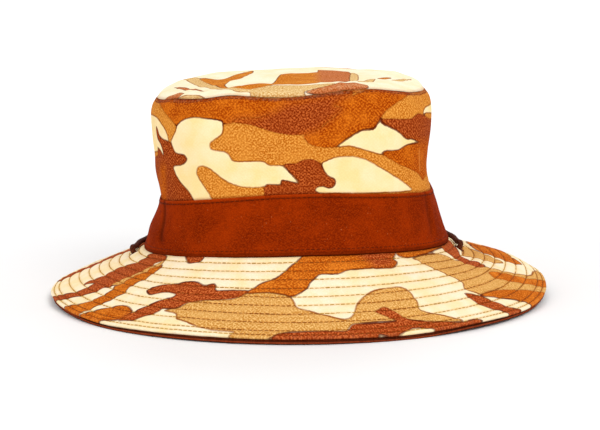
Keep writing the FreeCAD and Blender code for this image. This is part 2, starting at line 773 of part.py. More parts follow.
def finish(body):
    """Puts a lock body on the strands."""
    body.setExpression("Placement.Base.y", "Sheet.strand_y")
    body.setExpression("Placement.Base.z", "Sheet.lock_z")
    made.append(body)


# ---------------------------------------------------------------- cord lock: the pieces
def blind_bore(body):
    """Bores the barrel from its open right end, leaving the end wall."""
    sketch = circle_sketch(body, "barrel_bore_outline", "barrel_bore")
    offset = V(0, 0, size("barrel_right"))
    sketch.AttachmentOffset = FreeCAD.Placement(offset, FreeCAD.Rotation())
    sketch.setExpression("AttachmentOffset.Base.z", "Sheet.barrel_right")
    doc.recompute()
    before = body.Tip.Shape.Volume
    bore = body.newObject("PartDesign::Pocket", "barrel_blind_bore")
    bore.Profile = sketch
    bore.setExpression("Length", "Sheet.barrel_left + Sheet.barrel_right - Sheet.barrel_wall")
    body.Tip = bore
    doc.recompute()
    # Guards against a pocket that runs away from the barrel.
    if not bore.Shape.Volume < before - 500:
        bore.Reversed = True
        doc.recompute()
    if not bore.Shape.Volume < before - 500:
        raise RuntimeError("barrel bore cut nothing")


def cord_lock_barrel():
    """A turned cup along X, closed at its left end, with the cord passage through it from top
    to bottom."""
    body = new_body("cord_lock_barrel")
    outline = circle_sketch(body, "barrel_outline", "barrel_radius")
    pad = two_way_pad(body, "barrel_pad", outline, "barrel_right", "barrel_left")
    round_circles(body, "barrel_edges", pad, radius=1.1)
    blind_bore(body)
    slot = slot_sketch(body, "barrel_passage_outline", ["slot_half"], ["slot_half"])
    cut_passage(body, "barrel_passage", slot)
    finish(body)


def cord_lock_plunger():
    """Slides along X in the barrel. Its passage reaches further right than the barrel's by the
    travel, and the passage's left end pinches the strands."""
    body = new_body("cord_lock_plunger")
    outline = circle_sketch(body, "plunger_outline", "plunger_radius")
    pad = two_way_pad(body, "plunger_pad", outline, "plunger_right", "plunger_left")
    round_circles(body, "plunger_button", pad, radius=1.6, x=size("plunger_right"))
    slot = slot_sketch(
        body, "plunger_passage_outline", ["pinch_edge"], ["slot_half", "press_travel"]
    )
    cut_passage(body, "plunger_passage", slot)
    finish(body)


def cord_lock_spring():
    """A round-wire coil between the barrel's end wall and the plunger."""
    wire, radius, pitch = size("spring_wire"), size("spring_radius"), size("spring_pitch")
    start = -size("barrel_left") + size("barrel_wall") + wire + 0.15
    end = -size("plunger_left") - wire - 0.15
    per_turn = 18
    coil = []
    for k in range(int((end - start) / pitch * per_turn) + 1):
        angle = 2 * PI * k / per_turn
        x = start + pitch * k / per_turn
        coil.append(V(x, radius * math.cos(angle), radius * math.sin(angle)))
    spring = add_piece("cord_lock_spring", cord_tube(coil, wire))
    spring.Placement = FreeCAD.Placement(V(0, STRAND_Y, size("lock_z")), FreeCAD.Rotation())


cord_lock_barrel()
cord_lock_plunger()
cord_lock_spring()

# ---------------------------------------------------------------- checks, then one STEP a piece
doc.recompute()
for item in doc.Objects:
    if "Invalid" in item.State or "Error" in item.State:
        raise RuntimeError("%s failed to recompute: %s" % (item.Name, item.State))
for piece in made:
    shape = piece.Shape
    if shape.isNull() or not shape.isValid() or not shape.Solids or shape.Volume <= 0:
        raise RuntimeError("%s has a bad shape" % piece.Label)
    for solid in shape.Solids:
        if not solid.isClosed() or solid.Volume <= 0:
            raise RuntimeError("%s has an open or inverted solid" % piece.Label)
for old in os.listdir("parts"):
    if old.endswith(".step"):
        os.remove(os.path.join("parts", old))
for piece in made:
    piece.Shape.exportStep(os.path.join("parts", piece.Label + ".step"))
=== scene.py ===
"""Boonie hat: cloth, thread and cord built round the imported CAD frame.

The crown's axis is z, the crown seam lies near z = 0 and the brim's edge rests on z = REST. The front
faces -Y; left and right are as seen from there, so right is +X. Angles called phi run round the axis
from +X. Lengths are millimetres, and turn into metres when a mesh is made.
"""
import bpy
import math
from functools import lru_cache
import numpy as np
from mathutils import Vector, Matrix


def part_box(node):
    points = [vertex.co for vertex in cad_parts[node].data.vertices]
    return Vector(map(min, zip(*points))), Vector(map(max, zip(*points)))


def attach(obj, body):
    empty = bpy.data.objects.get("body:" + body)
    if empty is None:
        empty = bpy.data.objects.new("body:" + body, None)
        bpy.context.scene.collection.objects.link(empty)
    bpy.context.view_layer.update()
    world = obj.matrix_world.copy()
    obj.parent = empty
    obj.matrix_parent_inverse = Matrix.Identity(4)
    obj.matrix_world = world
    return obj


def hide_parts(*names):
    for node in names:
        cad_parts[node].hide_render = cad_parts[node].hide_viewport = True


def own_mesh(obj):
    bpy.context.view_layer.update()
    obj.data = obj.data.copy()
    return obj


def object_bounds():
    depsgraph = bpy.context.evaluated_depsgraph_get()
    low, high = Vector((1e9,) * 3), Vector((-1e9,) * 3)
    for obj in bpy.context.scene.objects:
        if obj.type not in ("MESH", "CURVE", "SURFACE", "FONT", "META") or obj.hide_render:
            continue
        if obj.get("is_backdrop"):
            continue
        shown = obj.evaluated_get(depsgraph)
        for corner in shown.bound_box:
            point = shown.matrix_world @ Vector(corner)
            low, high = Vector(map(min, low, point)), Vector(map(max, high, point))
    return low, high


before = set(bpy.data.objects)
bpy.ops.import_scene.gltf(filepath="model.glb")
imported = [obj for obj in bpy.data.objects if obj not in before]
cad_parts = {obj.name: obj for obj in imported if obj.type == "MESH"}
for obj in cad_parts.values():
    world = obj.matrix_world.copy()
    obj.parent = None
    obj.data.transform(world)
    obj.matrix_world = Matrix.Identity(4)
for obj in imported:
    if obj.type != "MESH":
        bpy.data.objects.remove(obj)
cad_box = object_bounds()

PI = math.pi
TAU = 2 * PI
DEG = PI / 180.0
FLAT = np.array([1, 1, 0])  # times a point: the point seen from above

# ------------------------------------------------------------ driving dimensions
SEAM_X, SEAM_Y, RIM = 89.7, 94.0, 147.5  # crown seam's half width and half depth, brim radius
HIGH, DOME = 88.0, 7.2  # crown wall height, rise of the tip's middle
SADDLE = 3.5  # how far the seam dips at the sides and rises at front and back
CROWN_R = 83.0  # mean crown radius, by which lengths round the crown are measured
CLOTH, STIFFENER_ROOM, PLY_GAP = 0.8, 1.05, 0.18
REST = -36.0
BRIM_SLOPE = 33 * DEG
STACK = (2 * CLOTH + STIFFENER_ROOM + 2 * PLY_GAP) / math.cos(BRIM_SLOPE)  # brim, straight down
EDGE_TOP = REST + STACK + 0.05
SLANT = 66.9  # from the seam to the rim along the brim
ROW_PITCH = 6.85
ROWS = [6.2 + ROW_PITCH * k for k in range(9)] + [64.4]  # stitch rows, out from the seam
ROW_SHIFT = STACK * math.cos(BRIM_SLOPE) * math.sin(BRIM_SLOPE) / (RIM - SEAM_X)

# Crown wall: share of the height, half width and half depth beyond the seam's, squareness of the
# oval, share of the saddle that is left.
WALL = np.array([
    (-0.030, 0.3, 0.3, 2.05, 1.00), (0.003, 0.0, 0.0, 2.05, 1.00), (0.059, -2.3, -2.8, 2.15, 0.97),
    (0.111, -4.7, -5.4, 2.30, 0.94), (0.189, -7.6, -8.4, 2.50, 0.90), (0.289, -8.8, -10.2, 2.70, 0.85),
    (0.370, -9.2, -10.8, 2.80, 0.80), (0.455, -9.8, -11.2, 2.85, 0.74), (0.600, -8.8, -10.8, 2.85, 0.65),
    (0.755, -6.8, -9.8, 2.80, 0.56), (0.877, -5.9, -9.4, 2.70, 0.50), (0.957, -7.1, -10.6, 2.60, 0.45),
    (1.000, -10.1, -13.6, 2.50, 0.42)]) + (0, SEAM_X, SEAM_Y, 0, 0)


# ------------------------------------------------------------ curves and points
def xyz(x, y, z=0.0):
    return np.stack(np.broadcast_arrays(x, y, z), -1)


def polar(radius, phi, z=0.0):
    return xyz(radius * np.cos(phi), radius * np.sin(phi), z)


def unit(vectors):
    return vectors / np.maximum(np.linalg.norm(vectors, axis=-1, keepdims=True), 1e-12)


def wrap(angle):
    return (angle + PI) % TAU - PI


def ease(lo, hi, x):
    """A smooth step from 0 at lo to 1 at hi."""
    t = np.clip((x - lo) / (hi - lo), 0, 1)
    return t * t * (3 - 2 * t)


def window(x, rise, fall):
    """1 between a smooth rise and a smooth fall, each (start, end)."""
    return ease(*rise, x) * (1 - ease(*fall, x))


def bell(x, width):
    return np.exp(-((x / width) ** 2))


def bells(x, table):
    """A sum of bells, each (amount, middle, width)."""
    return sum(amount * bell(x - middle, width) for amount, middle, width in table)


def bump(phi, middle, width):
    """A bell round the axis, its middle and width in degrees."""
    return bell(wrap(phi - middle * DEG), width * DEG)


def bumps(phi, table):
    """A sum of bumps, each (amount, middle, width)."""
    return sum(amount * bump(phi, middle, width) for amount, middle, width in table)


def hermite(t, start, end, slope0, slope1):
    return ((2 * t**3 - 3 * t**2 + 1) * start + (t**3 - 2 * t**2 + t) * slope0
            + (-2 * t**3 + 3 * t**2) * end + (t**3 - t**2) * slope1)


def arc_length(points):
    steps = np.linalg.norm(np.diff(points, axis=0), axis=1)
    return np.concatenate([[0], np.cumsum(steps)])


def circle(count):
    return np.linspace(-PI, PI, count, endpoint=False)


# ------------------------------------------------------------ the hat's plain shape
def profile(share, column):
    """A smooth curve through a column of WALL."""
    heights, values = WALL[:, 0], WALL[:, column]
    last = len(WALL) - 1
    share = np.asarray(share, float)
    k = np.clip(np.searchsorted(heights, share, side="left") - 1, 0, last - 1)

    def slope(i):
        before, after = np.maximum(i - 1, 0), np.minimum(i + 1, last)
        return (values[after] - values[before]) / (heights[after] - heights[before])

    step = heights[k + 1] - heights[k]
    t = (share - heights[k]) / step
    return hermite(t, values[k], values[k + 1], slope(k) * step, slope(k + 1) * step)


def oval(half_x, half_y, square, phi):
    cosine, sine = np.abs(np.cos(phi)), np.abs(np.sin(phi))
    return ((cosine / half_x) ** square + (sine / half_y) ** square) ** (-1 / square)


def wall(phi, share, out):
    """The crown wall at a share of its height, moved outward by out."""
    radius = oval(profile(share, 1) + out, profile(share, 2) + out, profile(share, 3), phi)
    return polar(radius, phi, share * HIGH - SADDLE * profile(share, 4) * np.cos(2 * phi))


def wall_normal(phi, share):
    step = 1e-3
    around = wall(phi + step, share, 0) - wall(phi - step, share, 0)
    upward = wall(phi, share + step, 0) - wall(phi, share - step, 0)
    return unit(np.cross(around, upward))


def seam_radius(phi):
    return oval(SEAM_X - CLOTH, SEAM_Y - CLOTH, 2.05, phi)


def brim(phi, across, down=0.0):
    """The brim's top, across it from 0 at the seam to 1 at the rim."""
    seam = seam_radius(phi)
    seam_z = -SADDLE * np.cos(2 * phi)
    z = seam_z + (EDGE_TOP - seam_z) * across + np.sin(PI * across)
    return polar(seam + (RIM - seam) * across, phi, z - down)


# The two cord holes, right (1) and left (-1)
HOLE_OUT, HOLE_TURN = 9.6, 4.6 * DEG
HOLE_PHI = {1: -HOLE_TURN, -1: PI + HOLE_TURN}
HOLE_AT = {side: brim(phi, HOLE_OUT / SLANT) for side, phi in HOLE_PHI.items()}

# ------------------------------------------------------------ how the cloth sags and leans
TILT_LOW, TILT_HIGH = 1.2, 1.6  # degrees down towards -X, at the brim and up the crown
# Brim lifts: a shape across the brim, and (lift, middle, width) round it in degrees
BRIM_LIFTS = (
    (lambda across: ease(0.35, 0.85, across), ((4.3, 14, 26), (0.8, 44, 24))),
    (lambda across: np.sin(PI * across) * ease(0.2, 0.6, across), ((1.6, 2, 22),)),
    (lambda across: bell(across - 0.22, 0.17), ((-3.6, 12, 40),)),
    (lambda across: bell(across - 0.52, 0.17), ((-1.4, 158, 26),)),
    (lambda across: across, ((1.0, 0, 30), (0.8, 165, 30))),
    (lambda across: np.sin(PI * np.clip(across / 0.5, 0, 1)), ((-1.9, 168, 36),)),
    (lambda across: np.sin(PI * across), ((-1.7, 268, 48),)),
    (lambda across: across**3, ((0.9, 196, 14), (-0.6, 222, 12), (0.3, 250, 20),
                                (0.8, -46, 14), (-0.6, -64, 10), (-0.5, -24, 14))),
)
# Pushes of the crown's sides along +X: (push, height, spread)
RIGHT_PUSHES = ((2.4, 14, 11), (-1.3, 50, 24))
LEFT_PUSHES = ((1.6, 27, 8), (-2.2, 10, 8), (0.8, 70, 10), (-1.3, 43, 8))
# Lifts of the tip: (lift, x, spread in x, y, spread in y)
TIP_LIFTS = ((2.0, 62, 16, 10, 26), (1.3, -52, 24, 25, 30), (-1.0, 30, 18, 20, 40))
# Lifts of the crown's upper front: (lift, middle, width) in degrees
FRONT_LIFTS = ((2.9, 246, 13), (4.4, 300, 22), (2.3, 219, 12))


def lean_brim(points):
    """Sags the brim, but never below where the hat rests."""
    x, y, z = np.moveaxis(points, -1, 0)
    phi, radius = np.arctan2(y, x), np.hypot(x, y)
    seam = seam_radius(phi)
    across = np.clip((radius - seam) / (RIM - seam), 0, 1)
    lift = x * math.sin(TILT_LOW * DEG) * (1 - across) ** 1.5
    for shape, table in BRIM_LIFTS:
        lift = lift + shape(across) * bumps(phi, table)
    spread = 3.0 * bump(phi, 8, 42) * across * across
    scale = (radius + spread) / np.maximum(radius, 1e-9)
    return xyz(x * scale, y * scale, np.maximum(z + lift, REST))


def lean_crown(points):
    """Tilts the crown and pushes it out of true."""
    x, y, z = np.moveaxis(points, -1, 0)
    phi = np.arctan2(y, x)
    tilt = np.sin((TILT_LOW + (TILT_HIGH - TILT_LOW) * ease(0, 34, z)) * DEG)
    from_axis = np.clip(np.hypot(x / 81.0, y / 82.0), 0, 1)
    right, left = (bump(phi, middle, 45) * ease(0.3, 0.9, from_axis) for middle in (0, 180))
    height = np.clip(z, 0, 100)
    move = np.where(z > 0, -z * tilt, 0)
    move = move + right * (bells(height, RIGHT_PUSHES) - 1.3 * ease(55, 85, height))
    move += left * bells(height, LEFT_PUSHES)
    lift = x * tilt
    for amount, at_x, wide_x, at_y, wide_y in TIP_LIFTS:
        lift += ease(86, 90, z) * amount * bell(x - at_x, wide_x) * bell(y - at_y, wide_y)
    lift += ease(58, 84, z) * bell(y + 81, 34) * (y < 0) * bumps(phi, FRONT_LIFTS)
    return xyz(x + move, y, z + lift)


# ------------------------------------------------------------ seeded noise
@lru_cache(maxsize=None)
def lattice(seed):
    return np.random.RandomState(1000 + seed).uniform(-1, 1, (32, 32, 32))


def noise(points, size, seed):
    """Smooth noise of about -1..1, with features about size apart."""
    place = np.asarray(points, float) / size + 100.37
    whole = np.floor(place).astype(int)
    part = place - whole
    part = part * part * (3 - 2 * part)
    total = 0.0
    for corner in np.ndindex(2, 2, 2):
        x, y, z = np.moveaxis((whole + corner) % 32, -1, 0)
        total = total + lattice(seed)[x, y, z] * np.where(corner, part, 1 - part).prod(-1)
    return total * 1.6


def round_seam(phi, size, seed):
    """Noise that only changes along a seam round the crown."""
    return noise(polar(CROWN_R, phi), size, seed)


# ------------------------------------------------------------ draped surfaces
NOISE_R = 150  # radius at which noise along the brim's rows is read


def near_row(dist):
    """How far the nearest stitch row is."""
    return np.abs(np.subtract.outer(dist, ROWS)).min(-1)


def puckers(phi, dist, seed):
    """Small creases along the stitching, different at each row."""
    row = np.round((dist - 2.8) / ROW_PITCH)
    return noise(polar(NOISE_R, phi, row * 9), 3.4, seed)


def brim_surface(phi, across, side, down=0.0):
    """The brim's upper (1) or lower (-1) skin, quilted between its stitch rows.

    down moves it towards the other skin.
    """
    phi, across = np.broadcast_arrays(np.asarray(phi, float), np.asarray(across, float))
    base = brim(phi, across)
    step = 1e-3
    normal = unit(np.cross(brim(phi, across + step) - base, brim(phi + step, across) - base))
    normal = np.where(normal[..., 2:] < 0, -normal, normal)
    flat = base * FLAT
    waves = 0.22 * noise(flat, 17, 1) + 0.30 * noise(flat, 38, 2)
    if side > 0:
        dist = across * SLANT
        row = near_row(dist)
        quilt = 0.34 * (1 - bell(row, 1.15)) - 0.16 * bell(row, 0.8)
        rise = quilt * ease(-0.5, 3.0, dist) + 0.13 * puckers(phi, dist, 3) * bell(row, 2.2)
        rise = rise + waves + 0.05 * noise(flat, 3.2, 4) - down
        for hole in HOLE_AT.values():
            rise = rise - 0.7 * bell(np.linalg.norm(base - hole, axis=-1), 3.2)
    else:
        dist = (across + ROW_SHIFT) * SLANT
        row = near_row(dist)
        base = brim(phi, across, STACK + 0.5 * ease(0.93, 1.0, across))
        rise = 0.30 * bell(row, 1.0) - 0.10 * (1 - bell(row, 1.2))
        rise = rise + 0.12 * puckers(phi, dist, 5) * bell(row, 2.2)
        rise = rise + waves * (1 - ease(0.9, 0.98, across)) + down
    return lean_brim(base + normal * rise[..., None])


# Folds above the band: lift, middle and width in degrees, shares where it starts and where it ends
FOLDS = ((-0.7, 203, 5.0, (0.40, 0.50), (0.86, 0.95)), (0.5, 211, 6.0, (0.42, 0.60), (0.80, 0.95)))
# Creases down the band: middle in degrees, depth, width in degrees
CREASES = ((211, 0.8, 2.2), (-31, 0.9, 2.4), (-27, -0.45, 2.0), (24, 0.5, 2.6), (149, -0.6, 2.4),
           (262, 0.16, 3.0), (290, -0.14, 3.4))


def crease(phi, share, middle, width):
    """A bump that slants as it goes down the band."""
    return bump(phi, middle + 5.0 * (0.2 - share), width)


def wall_surface(phi, share, out):
    """The crown wall moved outward by out and rumpled as soft cloth is."""
    phi, share = np.broadcast_arrays(np.asarray(phi, float), np.asarray(share, float))
    plain = wall(phi, share, 0.0)
    upper = ease(0.34, 0.52, share)
    rumple = 0.55 * noise(plain * (1, 1, 0.7), 26, 11) + 0.22 * noise(plain * (1, 1, 0.8), 11, 12)
    rise = upper * (1 - 0.9 * ease(0.92, 0.99, share)) * rumple
    rise = rise + (1 - upper) * 0.12 * noise(plain, 24, 13)
    # puckered towards the tip's seam, with a groove at its stitching
    pucker = 0.42 * round_seam(phi, 7.5, 14) + 0.25 * round_seam(phi, 3.6, 15)
    rise += ease(0.86, 0.975, share) * pucker * (1 - 0.85 * ease(0.975, 1.0, share))
    rise -= 0.32 * bell(share - 0.983, 0.008) + 0.35 * ease(0.990, 1.0, share)
    for lift, middle, width, start, end in FOLDS:
        rise += lift * bump(phi, middle, width) * window(share, start, end)
    # the side seams, each a groove between two stitch lines
    for middle in (0.0, PI):
        dist = np.abs(wrap(phi - middle)) * CROWN_R
        rise -= upper * (0.45 * bell(dist, 0.9) + 0.16 * bell(dist - 3.45, 0.8))
        rise += upper * 0.14 * noise(plain * (0, 1, 1), 3.6, 16) * bell(dist, 5.0)
    low = 0.5 + 0.5 * (1 - ease(0.0, 0.40, share))
    for middle, depth, width in CREASES:
        fold = crease(phi, share, middle, width)
        rise -= depth * fold * window(share, (0.03, 0.10), (0.37, 0.42)) * low
    return lean_crown(wall(phi, share, out) + wall_normal(phi, share) * rise[..., None])


def tip_surface(phi, ring, down=0.0):
    """The crown's top, from 0 at its middle to 1 at its seam."""
    phi, ring = np.broadcast_arrays(np.asarray(phi, float), np.asarray(ring, float))
    x, y, z = np.moveaxis(wall(phi, np.ones_like(phi), 0.0), -1, 0)
    top = HIGH + 0.12 + CLOTH + (z - HIGH) * ring**2 + DOME * (1 - ring**4)
    flat = xyz(x * ring, y * ring)
    rumple = 1.1 * noise(flat * (0.75, 1, 1), 30, 21) + 0.45 * noise(flat, 13, 22)
    rise = (1 - ease(0.80, 1.0, ring)) * (rumple + 0.12 * noise(flat, 5.5, 23))
    edge = ease(0.74, 0.95, ring)
    pucker = 0.50 * round_seam(phi, 8.0, 24) + 0.30 * round_seam(phi, 4.0, 25)
    rise = rise + edge * (1 - 0.8 * ease(0.94, 1.0, ring)) * pucker
    rise = rise + 0.30 * edge * (1 - ease(0.965, 1.0, ring)) - 0.62 * ease(0.972, 1.0, ring)
    return lean_crown(xyz(x * ring, y * ring, top + (rise - down)))


# ------------------------------------------------------------ meshes
def build(name, points, faces, material, values=None, cloth=None, sharp=48):
    """A mesh object from points and index arrays, turned so that its faces look outward.

    values are named attributes, cloth the coordinates the weave follows, sharp an angle in degrees.
    """
    points = np.asarray(points, float)
    halves = []
    for part in faces:
        halves.append(part[:, [0, 1, 2]])
        if part.shape[1] == 4:
            halves.append(part[:, [0, 2, 3]])
    first, second, third = points[np.concatenate(halves)].transpose(1, 0, 2)
    inside_out = np.einsum("ij,ij->i", first, np.cross(second, third)).sum() < 0
    lists = []
    for part in faces:
        lists += (part[:, ::-1] if inside_out else part).tolist()
    mesh = bpy.data.meshes.new(name)
    mesh.from_pydata((points * 0.001).tolist(), [], lists)
    for key, column in (values or {}).items():
        attribute = mesh.attributes.new(key, "FLOAT", "POINT")
        attribute.data.foreach_set("value", np.asarray(column, np.float32).ravel())
    if cloth is not None:
        attribute = mesh.attributes.new("cloth", "FLOAT_VECTOR", "POINT")
        attribute.data.foreach_set("vector", np.asarray(cloth, np.float32).ravel())
    mesh.materials.append(material)
    mesh.update()
    mesh.shade_smooth()
    if sharp:
        mesh.set_sharp_from_angle(angle=sharp * DEG)
    piece = bpy.data.objects.new(name, mesh)
    bpy.context.scene.collection.objects.link(piece)
    return piece


def quads(index, close_rows=0, close_columns=0):
    """Faces of a grid of point numbers, 1 closing it on itself along an axis."""
    grid = np.pad(index, ((0, close_rows), (0, close_columns)), mode="wrap")
    corners = (grid[:-1, :-1], grid[1:, :-1], grid[1:, 1:], grid[:-1, 1:])
    return np.stack([corner.ravel() for corner in corners], 1)


def numbered(shape, first=0):
    return first + np.arange(shape[0] * shape[1]).reshape(shape[:2])


def end_fans(first, last, hub):
    """Triangles that close two end rings onto the points hub and hub + 1."""
    return np.concatenate([
        np.stack([np.full(len(first), hub), np.roll(first, -1), first], 1),
        np.stack([np.full(len(last), hub + 1), last, np.roll(last, -1)], 1)])


def strip(fine, coarse):
    """Triangles between a row of points and a row with half as many steps."""
    near, far = coarse[:-1], coarse[1:]
    start, middle, end = fine[:-2:2], fine[1::2], fine[2::2]
    triangles = ((near, start, middle), (near, middle, far), (far, middle, end))
    return np.concatenate([np.stack(corners, 1) for corners in triangles])


def panel(fine, coarse):
    """Points and faces of a sheet of cloth whose second side has half the steps of its first."""
    one = numbered(fine.shape)
    two = numbered(coarse.shape, one.size)
    faces = [
        quads(one), quads(two)[:, ::-1],
        strip(one[:, 0], two[:, 0])[:, ::-1], strip(one[:, -1], two[:, -1]),
        strip(one[0], two[0]), strip(one[-1], two[-1])[:, ::-1]]
    return np.concatenate([fine.reshape(-1, 3), coarse.reshape(-1, 3)]), faces


def both_sides(grid):
    """A grid's values for the points of a panel."""
    return np.concatenate([grid.ravel(), grid[::2, ::2].ravel()])


def no_marks(count):
    return {key: np.zeros(count) for key in ("row", "wear", "shade")}


def sweep(grid, name, material, values, cloth):
    """A ring round the hat whose cross-section is a closed loop. grid is (around, loop, 3)."""
    faces = [quads(numbered(grid.shape), 1, 1)]
    return build(name, grid.reshape(-1, 3), faces, material, values, cloth)


# Rings of a stitch: place along its length, share of its thickness, lift in radii
STITCH_RINGS = ((-0.5, 0.5, -0.9), (-0.34, 1.0, 0.0), (0.34, 1.0, 0.0), (0.5, 0.5, -0.9))
STITCH_SIDES = 6
STITCH_ENDS = [[0, 3, 2, 1], [0, 5, 4, 3], [18, 19, 20, 21], [18, 21, 22, 23]]


def stitches(name, material, lines, radius, length, pitch, seed, shade=None):
    """Separate sewing stitches along lines, each (points, normals, closed)."""
    rng = np.random.RandomState(500 + seed)
    placed_on = []
    for points, normals, closed in lines:
        if closed:
            points, normals = (np.concatenate([row, row[:1]]) for row in (points, normals))
        run = arc_length(points)
        count = max(1, int(round(run[-1] / pitch)))
        at = (np.arange(count) + 0.5) * run[-1] / count

        def sample(rows, where):
            return np.stack([np.interp(where, run, column) for column in rows.T], -1)

        ahead = sample(points, at + pitch * 0.4) - sample(points, at - pitch * 0.4)
        placed_on.append((sample(points, at), unit(ahead), unit(sample(normals, at))))
    middle, along, up = (np.concatenate(part) for part in zip(*placed_on))
    count = len(middle)
    side = unit(np.cross(up, along))
    up = np.cross(along, side)
    turn = rng.uniform(-0.06, 0.06, count)[:, None]
    cosine, sine = np.cos(turn), np.sin(turn)
    along, side = along * cosine + side * sine, side * cosine - along * sine
    size = rng.uniform(0.92, 1.08, count)[:, None]
    template = numbered((len(STITCH_RINGS), STITCH_SIDES))
    points = np.zeros((count, *template.shape, 3))
    for j, (place, thick, lift) in enumerate(STITCH_RINGS):
        centre = middle + along * place * length * size + up * (lift + 0.35) * radius
        for k in range(STITCH_SIDES):
            angle = k * TAU / STITCH_SIDES
            spoke = side * (1.15 * math.cos(angle)) + up * (0.85 * math.sin(angle))
            points[:, j, k] = centre + spoke * (radius * thick) * size
    skin = np.roll(quads(template, 0, 1)[:, ::-1], 1, axis=1)
    one = np.concatenate([skin, STITCH_ENDS])
    starts = np.arange(count) * template.size
    faces = (starts[:, None, None] + one[None]).reshape(-1, 4)
    values = {"tone": np.repeat(rng.uniform(0, 1, count), template.size)}
    if shade is not None:
        values["shade"] = np.repeat(shade(middle), template.size)
    return build(name, points.reshape(-1, 3), [faces], material, values, sharp=0)


def tube(points, radius, sides, skin=None):
    """Points and faces of a round cord. skin(step, angle) scales its radius."""
    ahead = unit(np.gradient(points, axis=0))
    side = unit(np.cross(ahead[0], [0.0, 0.0, 1.0] if abs(ahead[0][2]) < 0.9 else [1.0, 0.0, 0.0]))
    across = [side]
    for direction in ahead[1:]:
        side = across[-1] - direction * np.dot(across[-1], direction)
        across.append(side / np.linalg.norm(side))
    across = np.array(across)
    up = np.cross(ahead, across)
    angle = np.arange(sides) * TAU / sides
    count = len(points)
    thick = radius
    if skin is not None:
        thick = radius * skin(np.arange(count)[:, None], angle[None])[..., None]
    spokes = across[:, None] * np.cos(angle)[:, None] + up[:, None] * np.sin(angle)[:, None]
    rings = points[:, None] + spokes * thick
    cap = radius * 0.35
    index = numbered((count, sides))
    co = np.concatenate([
        rings.reshape(-1, 3), points[:1] - ahead[:1] * cap, points[-1:] + ahead[-1:] * cap])
    return co, [quads(index, 0, 1), end_fans(index[0], index[-1], count * sides)]


def join(parts):
    points, faces, base = [], [], 0
    for part_points, part_faces in parts:
        points.append(part_points)
        faces += [face + base for face in part_faces]
        base += len(part_points)
    return np.concatenate(points), faces


# ------------------------------------------------------------ camouflage print
# Inks: C cream, T tan, B orange-brown, D dark. A patch is its ink's letter and its outline's x,y. On
# the crown wall x is the distance round the crown from the middle of its front, towards +X, and y the
# height; on the brim and the tip a point is the place seen from above. Later patches cover earlier.
KINDS = "CTBD"
REACH = 6.0  # distances to a patch's edge are held to this


def outlines(text):
    """Patches as (ink, points)."""
    patches = []
    for word in text.split():
        if word in KINDS:
            patches.append((word, []))
        else:
            patches[-1][1].append([float(number) for number in word.split(",")])
    return patches


CROWN_PRINT = outlines("""
B -111,88.5 -16.5,87.5 34.5,87.5 33.5,85 24,83.5 -2,82 -16,77.5 -30,75.5 -32,73.5 -37,73.5 -38,75
-46.5,77 -52.5,78 -58.5,77.5 -62.5,76 -66,73.5 -85,85
D 34,86.5 15,86.5 2.5,85 -3.5,84 -16,77.5 -30,75.5 -32,74 -21,72.5 -4,67.5 9.5,67 14,69 26,77 27,79
23.5,81
B 33.5,85 45.5,87.5 81,88.5 71.5,86 61.5,82 51,76 45.5,70 43.5,68.5 36.5,67.5 29.5,64 24,60 21,59.5
13.5,60 9.5,61.5 7.5,63.5 6.5,66.5 14,69 26,77 27,79 23.5,81 26.5,83
C -66,73.5 -62.5,76 -58.5,77.5 -52.5,78 -38,75 -37,73.5 -37.5,68.5 -42.5,65.5 -44.5,64 -44.5,61.5
-43,60.5 -36,59 -33,54.5 -30.5,53.5 -17,53 -13,50.5 -7,50 -5,49 2.5,39.5 -6,41.5 -7,41 -7.5,39
-14.5,39.5 -16,38.5 -21,38 -29.5,39 -37,42.5 -44,48.5 -47,50.5 -50,51.5 -52.5,51 -53.5,49.5
-53.5,46.5 -47,36 -44.5,29.5 -48.5,27 -55.5,29 -59,36 -67,43.5 -71,50 -70,51.5 -65,52 -61.5,53.5
-60,55.5 -61.5,57.5 -67.5,58.5 -69.5,60.5 -71,63.5 -71.5,65.5 -67,71
C -123.5,77.5 -94,79 -85,77.5 -76.5,71.5 -74,65 -79.5,66.5 -83.5,68.5 -85.5,71.5 -88,73 -89.5,71
-87.5,67 -83,64 -81,60 -81.5,57 -84.5,60 -88,61 -91.5,61 -95,58.5 -120.5,57 -121.5,70.5
D -88,73 -85.5,71.5 -83.5,68.5 -79.5,66.5 -72,64.5 -69,59.5 -66.5,58.5 -62,58 -60,55.5 -61.5,53.5
-65,52 -70,51.5 -71,50 -67,43.5 -59,36 -55.5,29 -52,27.5 -52,26 -130.5,19 -123,49 -97.5,56 -92,60.5
-84.5,60 -81.5,57 -81,60 -83,64 -87.5,67 -89.5,71
D -16,38.5 -14.5,39.5 -7.5,39 -7,41 -6,41.5 2.5,39.5 3,40 2,42 -5,49.5 -4,51 2,51 4.5,52.5 10.5,53
15,50.5 18.5,44 22,42 23,40 22.5,37.5 20.5,36.5 14,37.5 12.5,36.5 12,35 14.5,33 14,23.5 -13.5,24.5
-16.5,37
C 16,50.5 24,54 32,54.5 36.5,53.5 40.5,52 70,34 68,33 14.5,33.5 12,35 12,36 13.5,37 16,37.5 19,36.5
21.5,37 23,39 22.5,41.5 18.5,44
C 47.5,72 48.5,70.5 58,67 63.5,64 72.5,62 75,60.5 65.5,59.5 59,57 51,57 49.5,56.5 48,55 32,60
24.5,60 30,64 37,67.5 43.5,68
D 48,72.5 67.5,73 76.5,76 95.5,72 122,70.5 120,59 80,59.5 69.5,62.5 64.5,63 58.5,67 50.5,70
B 49.5,56 51,57 59,57 65.5,59.5 76,60 120,58.5 120,49.5 122,40.5 91,39 85.5,37.5 79.5,41.5
60.5,48.5 49,55
C 83.5,77.5 90,79.5 126.5,80 123.5,73.5 88.5,76 83,75.5
B -90,49 -80.5,50 -89.5,24.5 -127,21
""")
